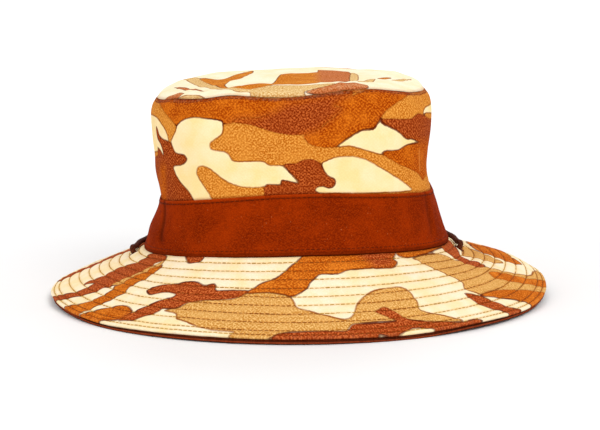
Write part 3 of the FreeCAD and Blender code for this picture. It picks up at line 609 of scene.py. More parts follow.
TIP_PRINT = outlines("""
T -66.5,27.5 -51,-4 -43.5,-41.5 -35.5,-62.5 -25.5,-69.5 -16,-65.5 -10.5,-67 -0.5,-65 9.5,-68.5
24.5,-70 19.5,-74.5 7.5,-78 9.5,-83.5 -21.5,-82.5 -23,-76.5 -31,-75 -43,-58.5 -53,-30.5
B -54.5,3 -41,-9.5 -33.5,3 -24,30 -23.5,18 -26.5,-8 -30,-22 -35.5,-27.5 -38,-42 -35.5,-56
-28.5,-65.5 -20.5,-60 -12,-49 -6,-13.5 0,0.5 5.5,8.5 17,11 16.5,-63 -0.5,-59 -6,-61.5 -16,-70
-24,-72.5 -31.5,-70 -39,-55.5
D -69.5,-5.5 -62,-21 -53.5,-48 -47,-60.5 -58,-44
D 16.5,26 26.5,23.5 35,12.5 33.5,-63.5 16.5,-62.5
T 36,8 39.5,-6 38.5,-44.5 33.5,-61.5
D 8.5,-78 27.5,-70 40,-68 43.5,-72 36,-76.5 27.5,-79.5 13.5,-80
T 38,-61 44,-37.5 49.5,-29.5 44,-56
B 51,-25 55.5,-16 60,-13.5 55.5,-24.5
T 59,-24.5 72.5,0 66,-19.5
D -74,-42 -66,-46.5 -61,-54 -64.5,-56 -72.5,-50
T -69.5,-55.5 -62,-57.5 -53.5,-64 -46.5,-72.5 -37.5,-79 -51.5,-72.5
""")
BRIM_PRINT = outlines("""
D -86.5,-37.5 -82.5,-41 -75.5,-54 -74,-59 -76.5,-60.5 -81,-59.5 -83.5,-62 -89.5,-62.5 -98,-64.5
-105.5,-65 -110,-62.5 -114.5,-62.5 -124.5,-57.5 -144.5,-42 -147,-31.5 -128.5,-47.5 -123.5,-49
-117,-47.5 -124.5,-40 -123,-38.5 -119.5,-38 -116.5,-39.5 -112.5,-40 -103.5,-35 -93,-41.5 -89.5,-41
-87,-42
T -74.5,-59.5 -79,-62 -84,-60.5 -91,-61.5 -95.5,-61.5 -105.5,-63.5 -99.5,-68.5 -96,-66.5 -86,-67
-77.5,-66
B -76.5,-66 -83.5,-63.5 -85,-65.5 -93,-64 -100,-67.5 -103.5,-67 -105,-70.5 -111.5,-72 -118.5,-71
-122,-69.5 -131,-63.5 -133.5,-63 -135.5,-65.5 -125.5,-82.5 -121,-80 -118,-81.5 -109.5,-81
-104.5,-82 -103,-80.5 -97,-80.5 -95.5,-77.5 -94,-76 -88,-74 -85,-74.5 -82,-71.5 -78.5,-70
B -125.5,-83 -119.5,-83 -100.5,-90.5 -96,-93.5 -93.5,-96.5 -91.5,-100.5 -91.5,-103.5 -98,-105
-106.5,-99.5 -110.5,-98 -112.5,-100
D -98,-105 -85,-103 -73.5,-102.5 -68,-103.5 -66.5,-102 -72,-97 -80.5,-94 -83,-90.5 -83.5,-87.5
-81.5,-87 -73.5,-89 -66,-93 -62.5,-94 -55.5,-97.5 -50.5,-102.5 -45.5,-103.5 -44,-106 -44.5,-107.5
-43,-109.5 -26,-114 -27,-115.5 -34,-117.5 -44.5,-116 -58.5,-112 -64,-113.5 -68,-112.5 -74,-110
-75,-111.5 -89.5,-111 -94,-108.5
T -65.5,-118 -72,-112.5 -63,-113.5 -58,-112 -37.5,-117.5 -32.5,-117.5 -26.5,-115.5 -6,-118.5
-3,-120.5 0,-127 2,-128.5 23.5,-134 28,-133 30,-131 31.5,-128 33.5,-121.5 41,-112 56,-103.5 59,-103
61.5,-103.5 66,-110 68,-116 90.5,-112.5 86.5,-116 70,-123 30,-136.5 26,-141.5 -3.5,-143.5 -15,-147
-27.5,-147.5 -37,-145.5 -35.5,-142.5 -33.5,-140.5 -45,-137 -54,-131.5 -63,-124 -65,-122
B 4.5,-91.5 3,-95 -9,-106.5 -11.5,-108 -19.5,-110.5 -27,-115.5 -14.5,-117 -3,-120 0,-119.5
5.5,-115.5 8,-111 12,-106.5 14,-105.5 23,-104 29,-100 52.5,-90.5 55,-87.5 56.5,-83.5 54.5,-81.5
55.5,-73
D 32.5,-85.5 55.5,-73 54.5,-81.5 56.5,-83.5 55,-87.5 52.5,-90.5 43.5,-94.5 41,-91.5
D -10,-144.5 26,-141.5 30.5,-136.5 39.5,-134 54,-128.5 50.5,-127 44,-126 42.5,-125 47,-121
50.5,-121 62.5,-125 82,-118 91.5,-113.5 98.5,-107.5 108,-104.5 113,-99 100,-112 82.5,-125.5
76.5,-129.5 75,-127 72,-127 62.5,-130.5 54.5,-137.5 51,-139 44,-140 46,-143 12,-149.5 -21.5,-148.5
-14,-147
D -62.5,-65 -52.5,-74 -52.5,-80.5 -58.5,-79.5 -61,-76.5
B 55.5,-71.5 57.5,-77 66,-71.5 77,-55.5 89.5,-24 84,-24.5
T 66,-73 69,-73 72,-74 92.5,-76 94,-82 96,-83 110,-77.5 131,-62 135.5,-65.5 143,-46.5 147,-31
150,-12.5 150,12.5 144,12 140.5,0 137,-15 124.5,-29 117,-34 108,-38 100.5,-34.5 92.5,-45.5
86.5,-47.5 79,-54
B 111,-45 118.5,-37 127.5,-30 136.5,-21.5 147,-5 145.5,-20 135.5,-32.5 126,-42 117,-48.5 112.5,-50
B 103,-82.5 110.5,-69.5 147.5,-29 144,-43.5 135,-66.5 132.5,-61 124,-66.5 109,-78.5
D 94,-88 97,-85.5 101.5,-83.5 115,-81 119.5,-79.5 124.5,-76 127,-76 127,-80 120.5,-90 119,-87.5
116.5,-87.5 113.5,-88.5 107.5,-91.5 100,-92
D 84,-35.5 91,-2.5 95,-13.5 97,-30.5 106.5,-30.5 109.5,-36.5 105.5,-43 89.5,-41
T 101.5,19.5 106.5,13.5 111.5,1 116.5,-8.5 122,-13.5 116.5,-21 109.5,-21 104,-19.5 98,-26
B 106,53 113,37.5 123.5,34 128,18 134.5,4 127,-6 118.5,-4.5 110.5,6.5 106.5,25.5
D -145.5,17 -139,20.5 -130,20.5 -121,27 -110,39 -91,24.5 -89.5,0 -107.5,15.5 -119,6.5 -137,3
-143.5,5.5
""")
# For scattered blobs on a base ink: inks and the noise level above which each shows
SCATTER = {
    "T": (("C", 0.02), ("B", 0.14), ("T", 0.55), ("C", 0.62), ("D", 0.30)),
    "C": (("T", 0.10), ("B", 0.20), ("D", 0.36), ("C", 0.66))}


def smooth_loop(points, per=5):
    points = np.array(points, float)
    count = len(points)
    t = np.arange(per)[:, None] / per
    loop = []
    for i in range(count):
        before, start, end, after = (points[(i + k) % count] for k in (-1, 0, 1, 2))
        longest = np.linalg.norm(end - start)
        slopes = []
        for slope in (0.42 * (end - before), 0.42 * (after - start)):
            slopes.append(slope * min(1.0, longest / max(np.linalg.norm(slope), 1e-12)))
        loop.append(hermite(t, start, end, *slopes))
    return np.concatenate(loop)


def inside_distance(flat, loop):
    """Distance of points to a loop, positive inside."""
    out = np.full(len(flat), -REACH)
    lo, hi = loop.min(0) - REACH, loop.max(0) + REACH
    near = np.where(((flat >= lo) & (flat <= hi)).all(1))[0]
    start, end = loop, np.roll(loop, -1, 0)
    edge = end - start
    square = np.maximum((edge**2).sum(1), 1e-12)
    fall = np.where(np.abs(edge[:, 1]) < 1e-12, 1e-12, edge[:, 1])
    for part in np.array_split(near, max(1, len(near) // 4000)):
        point = flat[part][:, None]
        t = np.clip(((point - start) * edge).sum(2) / square, 0, 1)
        dist = np.sqrt((((point - start) - t[..., None] * edge) ** 2).sum(2).min(1))
        spans = (start[:, 1] <= point[..., 1]) != (end[:, 1] <= point[..., 1])
        crossing = start[:, 0] + (point[..., 1] - start[:, 1]) * edge[:, 0] / fall
        inside = ((spans & (point[..., 0] < crossing)).sum(1) % 2) == 1
        out[part] = np.clip(np.where(inside, dist, -dist), -REACH, REACH)
    return out


def painted(count, base, patches):
    """Distances into each ink, (4, count), after patches of (ink, distance) on a base ink."""
    fields = np.array([np.full(count, REACH if kind == base else -REACH) for kind in KINDS])
    for kind, dist in patches:
        for k in range(4):
            over = KINDS[k] == kind
            fields[k] = np.maximum(fields[k], dist) if over else np.minimum(fields[k], -dist)
    return fields


def placed(flat, patches, base):
    shapes = ((kind, inside_distance(flat, smooth_loop(points))) for kind, points in patches)
    return painted(len(flat), base, shapes)


def scattered(points, base, seed, stretch):
    """Blobs of the same inks and size from seeded noise, where no patch is listed."""
    points = points * stretch
    shapes = []
    for k, (kind, level) in enumerate(SCATTER[base]):
        blobs = noise(points, 30, seed + 2 * k) + 0.38 * noise(points, 13, seed + 2 * k + 1)
        shapes.append((kind, np.clip((blobs - level) * 17, -REACH, REACH)))
    return painted(len(points), base, shapes)


def ink_values(fields):
    return {"f" + kind: field for kind, field in zip(KINDS, fields)}


def crown_print(phi, share):
    """The wall's ink fields and its cloth coordinates."""
    front = np.where(wrap(phi) > PI / 2, wrap(phi) - TAU, wrap(phi))
    cloth = xyz((front + PI / 2) * CROWN_R, share * HIGH)
    behind = np.maximum(ease(7, 24, np.degrees(front)), ease(187, 204, -np.degrees(front)))
    hand = placed(cloth[:, :2], CROWN_PRINT, "T")
    far = scattered(wall(phi, share, 0.0), "T", seed=100, stretch=(0.62, 0.62, 1.25))
    return hand * (1 - behind) + far * behind, cloth


def brim_print(points):
    x, y = points[:, 0], points[:, 1]
    phi = np.degrees(np.arctan2(y, x))
    behind = ease(34, 52, phi) * ease(34, 50, 180 - phi)
    hand = placed(points[:, :2], BRIM_PRINT, "C")
    cosine, sine = math.cos(math.radians(35)), math.sin(math.radians(35))
    turned = xyz(x * cosine - y * sine, x * sine + y * cosine)
    far = scattered(turned, "C", seed=130, stretch=(0.70, 1.15, 1))
    return hand * (1 - behind) + far * behind


def tip_print(points):
    behind = ease(38, 56, points[:, 1])
    hand = placed(points[:, :2], TIP_PRINT, "C")
    far = scattered(points * FLAT, "C", seed=160, stretch=(0.75, 1.1, 1))
    return hand * (1 - behind) + far * behind


# ------------------------------------------------------------ shader helpers
def linear(colour):
    """An sRGB colour of 0..255 as a linear one with alpha."""
    parts = (part / 255 for part in colour)
    return tuple(c / 12.92 if c <= 0.04045 else ((c + 0.055) / 1.055) ** 2.4 for c in parts) + (1.0,)


def scale_colour(colour, by, plus=0):
    return tuple(min(255, int(part * by + plus)) for part in colour)


def between(start, end, share):
    return tuple(a + (b - a) * share for a, b in zip(start, end))


class Shader:
    """A node material round one Principled shader.

    Inputs may be sockets, numbers, or sRGB colours of 0..255. Texture coordinates are millimetres.
    """

    def __init__(self, name):
        self.material = bpy.data.materials.new(name)
        self.material.use_nodes = True
        self.tree = self.material.node_tree
        self.tree.nodes.clear()
        output = self.add("OutputMaterial", {})
        self.skin = self.add("BsdfPrincipled", {})
        self.tree.links.new(self.skin.outputs[0], output.inputs[0])

    def put(self, socket, value):
        if isinstance(value, bpy.types.NodeSocket):
            self.tree.links.new(value, socket)
        elif value is not None:
            colour = socket.type == "RGBA"
            socket.default_value = linear(value) if colour else value

    def add(self, kind, inputs, **settings):
        node = self.tree.nodes.new("ShaderNode" + kind)
        for key, value in settings.items():
            setattr(node, key, value)
        for key, value in inputs.items():
            self.put(node.inputs[key], value)
        return node

    def math(self, operation, first, second=None, third=None, clamp=False):
        inputs = {0: first, 1: second, 2: third}
        return self.add("Math", inputs, operation=operation, use_clamp=clamp).outputs[0]

    def plus(self, first, second):
        return self.math("ADD", first, second)

    def minus(self, first, second):
        return self.math("SUBTRACT", first, second)

    def times(self, first, second):
        return self.math("MULTIPLY", first, second)

    def most(self, first, second):
        return self.math("MAXIMUM", first, second)

    def value(self, key):
        return self.add("Attribute", {}, attribute_name=key).outputs["Fac"]

    def cloth(self):
        return self.add("Attribute", {}, attribute_name="cloth").outputs["Vector"]

    def place(self):
        coordinates = self.add("TexCoord", {})
        return self.scaled(coordinates.outputs["Object"], (1000, 1000, 1000))

    def scaled(self, vector, by):
        return self.add("VectorMath", {0: vector, 1: by}, operation="MULTIPLY").outputs[0]

    def dot(self, vector, by):
        return self.add("VectorMath", {0: vector, 1: by}, operation="DOT_PRODUCT").outputs["Value"]

    def noise(self, vector, scale, detail=2.0, rough=0.5):
        inputs = {"Vector": vector, "Scale": scale, "Detail": detail, "Roughness": rough}
        return self.add("TexNoise", inputs).outputs[0]

    def noises(self, vector, scale, detail=2.0, rough=0.5):
        """Three separate noises."""
        inputs = {"Vector": vector, "Scale": scale, "Detail": detail, "Roughness": rough}
        colour = self.add("TexNoise", inputs).outputs["Color"]
        return self.add("SeparateColor", {0: colour}).outputs

    def mix(self, mask, first, second, amount=None, mode="MIX"):
        """second over first by a mask, which amount scales."""
        if amount is not None:
            mask = self.times(mask, amount)
        inputs = {0: mask, 6: first, 7: second}
        return self.add("Mix", inputs, data_type="RGBA", blend_type=mode).outputs[2]

    def tint(self, mask, colour, by):
        """colour multiplied by another, as far as the mask goes."""
        return self.mix(mask, colour, self.mix(1.0, colour, by, mode="MULTIPLY"))

    def span(self, value, lo, hi, to=(0.0, 1.0)):
        """Maps lo..hi to another span and clamps it there."""
        inputs = {0: value, 1: lo, 2: hi, 3: to[0], 4: to[1]}
        return self.add("MapRange", inputs, clamp=True).outputs[0]

    def bump(self, height, distance, strength):
        inputs = {"Height": height, "Distance": distance * 0.001, "Strength": strength}
        return self.add("Bump", inputs).outputs[0]

    def finish(self, colour, rough, normal=None, sheen=0.0, spec=0.2, metal=0.0):
        inputs = {
            "Base Color": colour, "Roughness": rough, "Metallic": metal, "Specular IOR Level": spec,
            "Sheen Weight": sheen, "Sheen Roughness": 0.6, "Normal": normal}
        for key, value in inputs.items():
            self.put(self.skin.inputs[key], value)
        return self.material


def twill(mat, cloth, pitch, angle, loose=0.8):
    """Worn twill, ribs one way and yarns the other, uneven: a height from 0 to 1."""
    wobble = mat.noise(cloth, scale=0.5)

    def ribs(degrees, step, push):
        turn = math.radians(degrees)
        across = mat.dot(cloth, (math.cos(turn) / step, math.sin(turn) / step, 0))
        line = mat.plus(mat.times(across, TAU), mat.times(wobble, TAU * push))
        return mat.math("MULTIPLY_ADD", mat.math("SINE", line), 0.5, 0.5)

    rib, yarn = ribs(angle, pitch, loose), ribs(angle + 84, pitch * 0.97, -loose)
    grain = mat.span(mat.noise(cloth, scale=1.0, detail=3.0, rough=0.65), lo=0.30, hi=0.70)
    even = mat.span(mat.noise(cloth, scale=0.12), lo=0.38, hi=0.62, to=(0.10, 0.30))
    weave = mat.plus(mat.times(rib, 0.55), mat.times(yarn, 0.45))
    return mat.plus(mat.times(weave, even), mat.times(grain, mat.minus(0.92, even)))


def woven_normal(mat, cloth, weave, distance, strength):
    lumps = mat.times(mat.noise(cloth, scale=0.30, detail=4.0, rough=0.6), 0.9)
    return mat.bump(mat.plus(weave, lumps), distance=distance, strength=strength)


# ------------------------------------------------------------ materials
def camo_material(name, inks, angle, edge=(0.5, 1.2)):
    """Printed camouflage twill.

    inks are (deep, pale) colours of cream, tan, brown and dark; edge is where the dark rim between
    patches starts and stops fading.
    """
    mat = Shader(name)
    cloth = mat.cloth()
    fine = mat.noises(cloth, scale=0.55, detail=3.0, rough=0.6)
    broad = mat.noises(cloth, scale=0.085)
    weave = twill(mat, cloth, pitch=1.45, angle=angle)
    fields = []
    for kind, jitter, ragged in zip(KINDS, (*fine[:3], broad[0]), (1.1, 1.1, 1.1, 1.3)):
        shift = mat.times(mat.minus(jitter, 0.5), ragged)
        fields.append(mat.plus(mat.value("f" + kind), shift))
    # orange-brown and dark run softly into each other, the other inks meet at an edge
    soft = mat.span(mat.minus(fields[3], fields[2]), lo=-6.5, hi=6.5)
    cream_field, tan_field, deep_field = fields = [*fields[:2], mat.most(fields[2], fields[3])]
    top = mat.most(mat.most(cream_field, tan_field), deep_field)
    cream_tan = mat.math("MINIMUM", cream_field, tan_field)
    cream_deep = mat.math("MINIMUM", cream_field, deep_field)
    tan_deep = mat.math("MINIMUM", tan_field, deep_field)
    margin = mat.minus(top, mat.most(mat.most(cream_tan, cream_deep), tan_deep))

    yarn = mat.span(weave, lo=0.36, hi=0.66)
    cream = mat.mix(mat.span(broad[1], lo=0.38, hi=0.66), inks[0][1], inks[0][0])
    cream = mat.mix(mat.minus(1.0, yarn), cream, (232, 196, 120), amount=0.16)

    def uneven(pair, cloud, lo, hi, amount, share):
        """An ink that follows the yarns, clouded by a share of the way from deep to pale."""
        colour = mat.mix(yarn, *pair)
        return mat.mix(mat.span(cloud, lo=lo, hi=hi), colour, between(*pair, share), amount=amount)

    tan = uneven(inks[1], broad[2], lo=0.40, hi=0.68, amount=0.5, share=0.7)
    brown = uneven(inks[2], broad[0], lo=0.46, hi=0.70, amount=0.45, share=1.25)
    dark = uneven(inks[3], broad[1], lo=0.46, hi=0.70, amount=0.4, share=0.3)
    colour = total = None
    for field, ink in zip(fields, (cream, tan, mat.mix(soft, brown, dark))):
        weight = mat.math("ADD", mat.times(mat.minus(field, top), 2.6), 1.0, clamp=True)
        if colour is None:
            colour, total = ink, weight
        else:
            total = mat.plus(total, weight)
            colour = mat.mix(mat.math("DIVIDE", weight, total), colour, ink)
    # printed patches have a thin dark rim where the inks meet, fainter away from cream
    rim = mat.span(margin, lo=edge[0], hi=edge[1], to=(1.0, 0.0))
    rim = mat.times(rim, mat.span(broad[2], lo=0.36, hi=0.62, to=(0.55, 1.0)))
    by_cream = mat.span(mat.minus(cream_field, top), lo=-2.0, hi=-1.1, to=(0.30, 0.96))
    rim = mat.times(rim, by_cream)
    by_deep = mat.span(mat.minus(deep_field, top), lo=-2.0, hi=-1.1)
    colour = mat.mix(rim, colour, mat.mix(by_deep, (150, 78, 8), (92, 23, 0)))
    # painted shade with some dirt in the stitched valleys, wear on the folds
    colour = mat.tint(mat.times(mat.value("row"), 0.55), colour, (226, 180, 96))
    wear = mat.times(mat.value("wear"), mat.span(fine[1], lo=0.42, hi=0.62))
    colour = mat.mix(wear, colour, (255, 236, 190), amount=0.35)
    colour = mat.mix(mat.value("streak"), colour, (232, 150, 66))
    # the cloth's back shows the print only faintly
    colour = mat.mix(mat.value("inside"), colour, mat.mix(0.62, colour, (222, 186, 134)))
    colour = mat.tint(mat.value("shade"), colour, (176, 112, 70))
    normal = woven_normal(mat, cloth, weave, distance=0.15, strength=0.5)
    rough = mat.span(weave, lo=0.2, hi=0.8, to=(0.98, 0.88))
    return mat.finish(colour, rough, normal, spec=0.03)


def dyed_material(name, deep, pale, angle=57, specks=True):
    """Twill of one colour, with lint if specks is set."""
    mat = Shader(name)
    cloth = mat.cloth()
    weave = twill(mat, cloth, pitch=1.1, angle=angle)
    broad = mat.noise(cloth, scale=0.055, detail=3.0, rough=0.55)
    middle = mat.noise(cloth, scale=0.28, detail=3.0, rough=0.6)
    colour = mat.mix(mat.span(weave, lo=0.34, hi=0.68), deep, pale)
    faded = mat.span(broad, lo=0.40, hi=0.66)
    colour = mat.mix(faded, colour, scale_colour(pale, 1.16), amount=0.45)
    stained = mat.span(middle, lo=0.52, hi=0.70)
    colour = mat.mix(stained, colour, scale_colour(deep, 0.82), amount=0.35)
    if specks:
        lint = mat.noise(mat.scaled(cloth, (1.0, 0.45, 1.0)), scale=1.4, detail=1.0, rough=0.4)
        colour = mat.mix(mat.span(lint, lo=0.735, hi=0.80), colour, (214, 136, 84), amount=0.45)
    # painted shade with some dirt along the stitch rows
    colour = mat.mix(mat.value("row"), colour, scale_colour(deep, 0.55), amount=0.5)
    wear = mat.times(mat.value("wear"), mat.span(middle, lo=0.40, hi=0.62, to=(0.1, 0.5)))
    colour = mat.mix(wear, colour, scale_colour(pale, 1.35, plus=10))
    colour = mat.mix(mat.value("shade"), colour, scale_colour(deep, 0.42))
    normal = woven_normal(mat, cloth, weave, distance=0.16, strength=0.6)
    rough = mat.span(weave, lo=0.2, hi=0.8, to=(0.98, 0.86))
    return mat.finish(colour, rough, normal, spec=0.02)


def thread_material(name, low, high, under=None):
    """Twisted thread between two colours, stained by under where it has shade."""
    mat = Shader(name)
    place = mat.place()
    tone = mat.value("tone")
    twist = mat.math("SINE", mat.times(mat.dot(place, (0.55, 0.62, 0.56)), TAU / 0.42))
    colour = mat.mix(tone, low, high)
    grooves = mat.span(twist, lo=-1, hi=1, to=(0.0, 0.35))
    colour = mat.mix(grooves, colour, scale_colour(low, 0.6))
    if under is not None:
        colour = mat.mix(mat.value("shade"), colour, under, amount=0.9)
    height = mat.plus(mat.times(twist, 0.5), mat.noise(place, scale=2.0, detail=3.0))
    normal = mat.bump(height, distance=0.05, strength=0.7)
    return mat.finish(colour, mat.span(twist, lo=-1, hi=1, to=(0.6, 0.8)), normal, spec=0.04)


def tape_material(name, deep, pale, pitch=1.3):
    """Herringbone tape."""
    mat = Shader(name)
    cloth = mat.cloth()
    along = mat.dot(cloth, (1, 0, 0))
    zigzag = mat.math("PINGPONG", mat.dot(cloth, (0, 1, 0)), 1.6)
    ribs = mat.math("SINE", mat.times(mat.plus(along, zigzag), TAU / pitch))
    fine = mat.noise(cloth, scale=1.8, detail=3.0)
    colour = mat.mix(mat.span(ribs, lo=-0.6, hi=0.7), deep, pale)
    colour = mat.mix(mat.span(fine, lo=0.4, hi=0.7), colour, scale_colour(deep, 0.8), amount=0.4)
    normal = mat.bump(mat.plus(mat.times(ribs, 0.5), fine), distance=0.14, strength=0.7)
    return mat.finish(colour, rough=0.85, normal=normal, sheen=0.06, spec=0.18)


def cord_material(name, deep, pale):
    """Braided cord, its strands winding both ways."""
    mat = Shader(name)
    cloth = mat.cloth()
    one, other = (mat.math("SINE", mat.dot(cloth, (4.2, turn, 0))) for turn in (5.0, -5.0))
    weave = mat.most(one, other)
    fine = mat.noise(mat.place(), scale=2.2, detail=3.0)
    colour = mat.mix(mat.span(weave, lo=-0.2, hi=0.95), deep, pale)
    worn = mat.span(fine, lo=0.45, hi=0.7)
    colour = mat.mix(worn, colour, scale_colour(pale, 1.5), amount=0.4)
    normal = mat.bump(mat.plus(weave, fine), distance=0.10, strength=0.7)
    return mat.finish(colour, rough=0.75, normal=normal, spec=0.08)


def plastic_material(name, deep, pale):
    """Clouded plastic with pale scuffs."""
    mat = Shader(name)
    place = mat.place()
    grain = mat.noise(place, scale=2.6, detail=4.0, rough=0.6)
    cloud = mat.noise(place, scale=0.22, detail=3.0)
    scuff = mat.noise(mat.scaled(place, (0.4, 2.4, 2.4)), scale=0.8, detail=3.0, rough=0.65)
    colour = mat.mix(cloud, deep, pale)
    scuffed = mat.span(scuff, lo=0.62, hi=0.72)
    colour = mat.mix(scuffed, colour, scale_colour(pale, 1.9), amount=0.4)
    rough = mat.span(scuff, lo=0.45, hi=0.72, to=(0.42, 0.62))
    return mat.finish(colour, rough, mat.bump(grain, distance=0.05, strength=0.5), spec=0.5)


def steel_material(name):
    """Drawn steel wire."""
    mat = Shader(name)
    streaks = mat.scaled(mat.place(), (3.2, 0.7, 0.7))
    draw = mat.noise(streaks, scale=1.6, detail=3.0, rough=0.6)
    colour = mat.mix(draw, (150, 150, 154), (214, 214, 218))
    normal = mat.bump(draw, distance=0.02, strength=0.5)
    rough = mat.span(draw, lo=0.3, hi=0.7, to=(0.22, 0.40))
    return mat.finish(colour, rough, normal, spec=0.5, metal=1.0)


# (deep, pale) of cream, tan, brown and dark. The brim's and the tip's inks are paler copies of the
# crown's: painted light, for the stronger light on faces turned up
CROWN_INKS = (((250, 222, 158), (255, 231, 184)), ((184, 98, 14), (238, 166, 74)),
              ((154, 56, 0), (215, 113, 22)), ((124, 37, 0), (199, 99, 42)))
BRIM_INKS_PAINTED_LIGHT = (((252, 230, 180), (255, 240, 210)), ((198, 134, 54), (245, 197, 122)),
             ((172, 76, 6), (229, 131, 38)), ((140, 46, 6), (217, 115, 58)))
TIP_INKS_PAINTED_LIGHT = (((252, 236, 196), (255, 245, 218)), ((202, 150, 78), (246, 216, 158)),
            ((184, 94, 10), (228, 146, 50)), ((172, 88, 34), (226, 142, 90)))
camo_tip_painted_light = camo_material("camo_twill_tip_painted_light", TIP_INKS_PAINTED_LIGHT, angle=40, edge=(0.3, 0.9))
camo_crown = camo_material("camo_twill_crown", CROWN_INKS, angle=48)
camo_brim_painted_light = camo_material("camo_twill_brim_painted_light", BRIM_INKS_PAINTED_LIGHT, angle=45, edge=(0.6, 1.45))
lining = dyed_material("lining_twill", (104, 38, 16), (142, 62, 32))
band_cloth = dyed_material("band_twill", (116, 28, 0), (150, 48, 2))
sweat_cloth = dyed_material("sweatband_cloth", (84, 44, 24), (122, 72, 44), angle=90, specks=False)
stiff_cloth = dyed_material(
    "interlining", (206, 196, 176), (232, 226, 210), angle=90, specks=False)
tape = tape_material("seam_tape", (132, 82, 44), (176, 118, 68))
ribbon = tape_material("label_ribbon", (226, 218, 200), (246, 242, 230), pitch=0.9)
thread_brim = thread_material("brim_thread", (178, 126, 34), (212, 166, 70), under=(120, 38, 3))
thread_band = thread_material("band_thread", (84, 22, 2), (112, 34, 6))
thread_tip = thread_material("tip_thread", (112, 38, 6), (148, 64, 18))
thread_under = thread_material("bobbin_thread", (132, 72, 36), (162, 96, 52))
cord_cloth = cord_material("cord", (44, 16, 6), (92, 42, 20))
plastic = plastic_material("lock_plastic", (44, 26, 16), (66, 42, 28))
button = plastic_material("lock_button_plastic", (56, 34, 22), (80, 52, 34))
steel = steel_material("spring_steel")

# ------------------------------------------------------------ brim
PLY = 0.72  # thickness a cloth is modelled with
NO_ROW = 9.0  # a distance from a stitch row at which nothing of it shows
# Upper cloth rolled over its outer edge: place across, down, shade
UPPER_ROLL = (
    (0.982, 0.02, 0), (0.991, 0.18, 0), (0.9972, 0.55, 0), (0.9992, 1.05, 0.1), (0.9988, 1.55, 0.5),
    (0.9950, 1.95, 0.9), (0.9905, 1.90, 1), (0.9880, 1.45, 1), (0.9845, 0.98, 1))
# Lower cloth rounded up to a lip beside the upper cloth: place across, below the top, wear, shade
LOWER_LIP = (
    (0.990, 3.62, 0.0, 0.7), (0.9960, 3.45, 0.0, 1.0), (0.9992, 3.15, 0.1, 0.55),
    (1.0004, 2.75, 0.5, 0.05), (0.9998, 2.35, 0.3, 0.2), (0.9975, 2.12, 0.0, 0.8),
    (0.9930, 2.10, 0.0, 1.0), (0.9880, 2.25, 0.0, 1.0), (0.984, 2.55, 0.0, 1.0))


def upper_cloth():
    count = 760
    phi = circle(count)[:, None]
    face = np.array([0.0, 0.7, *np.arange(1.5, 65.4, 0.82)]) / SLANT
    roll_across, roll_down, roll_shade = np.array(UPPER_ROLL).T
    back = np.linspace(0.972, 0.0, 24)
    plain, hidden = np.zeros(len(face)), np.zeros(len(back))
    across = np.concatenate([face, roll_across, back])
    down = np.concatenate([plain, roll_down, hidden + PLY])
    row = np.full(len(across), NO_ROW)
    row[:len(face)] = near_row(face * SLANT)
    under = np.concatenate([plain, roll_shade, hidden])
    spots = brim(phi, across).reshape(-1, 3)
    values = ink_values(brim_print(spots))
    values["row"] = np.tile(bell(row, 0.62), count)
    values["wear"] = np.tile((across * SLANT > 64.8) * 0.08, count)
    values["inside"] = np.tile(np.arange(len(across)) >= len(across) - len(back), count)
    values["streak"] = np.zeros(len(spots))
    # cloth near the crown lies in the band's shadow
    values["shade"] = np.tile(0.75 * bell(across * SLANT, 2.6) + under, count)
    grid = brim_surface(phi, across, 1, down)
    return sweep(grid, "brim_upper_quilted", camo_brim_painted_light, values, spots * FLAT)


def lower_cloth():
    count = 640
    phi = circle(count)[:, None]
    face = np.array([0.0, 0.7, *np.arange(1.5, 65.6, 0.86)]) / SLANT
    lip_across, lip_down, lip_wear, lip_shade = np.array(LOWER_LIP).T
    back = np.linspace(0.972, 0.0, 22)
    # the inner edge runs on under the sweatband's lower edge
    inward = np.array([2.5, 1.7, 0.8])

    def inner_edge(steps, down):
        return brim_surface(phi, 0.0, -1, down) + polar(-1, phi, 0.12) * steps[:, None]

    wobble = 0.05 * noise(polar(NOISE_R, phi), 6, 31)
    drawn_in = 0.026 * bump(phi, 195, 26) + 0.018 * bump(phi, 342, 26)
    lip = lean_brim(brim(phi, lip_across - drawn_in, lip_down) + xyz(0.0, 0.0, wobble))
    grid = np.concatenate([
        inner_edge(inward, 0.0), brim_surface(phi, face, -1), lip,
        brim_surface(phi, back, -1, PLY), inner_edge(inward[::-1], PLY)], 1)

    def loop(edge, face_part, lip_part, back_part):
        """One value for each row of the loop."""
        ends = np.full(len(inward), edge)
        return np.concatenate([ends, face_part, lip_part, back_part, ends])

    plain, hidden = 0 * face, 0 * back
    row = loop(NO_ROW, near_row((face + ROW_SHIFT) * SLANT), NO_ROW + 0 * lip_wear, hidden + NO_ROW)
    values = {
        "row": np.tile(bell(row, 0.62), count) * 0.6,
        "wear": np.tile(loop(0.0, plain, lip_wear, hidden), count),
        "shade": np.tile(loop(0.45, plain, lip_shade, hidden), count)}
    cloth = brim(phi, loop(0.0, face, lip_across, back)).reshape(-1, 3) * FLAT
    return sweep(grid, "brim_lower_quilted", lining, values, cloth)


def brim_stiffener():
    phi = circle(320)[:, None]
    outward = np.linspace(0.012, 0.972, 70)
    across = np.concatenate([outward, outward[::-1]])
    grid = brim_surface(phi, across, 1, np.repeat([1.03, 1.75], 70))
    cloth = brim(phi, across).reshape(-1, 3) * FLAT
    return sweep(grid, "brim_stiffener", stiff_cloth, no_marks(len(cloth)), cloth)


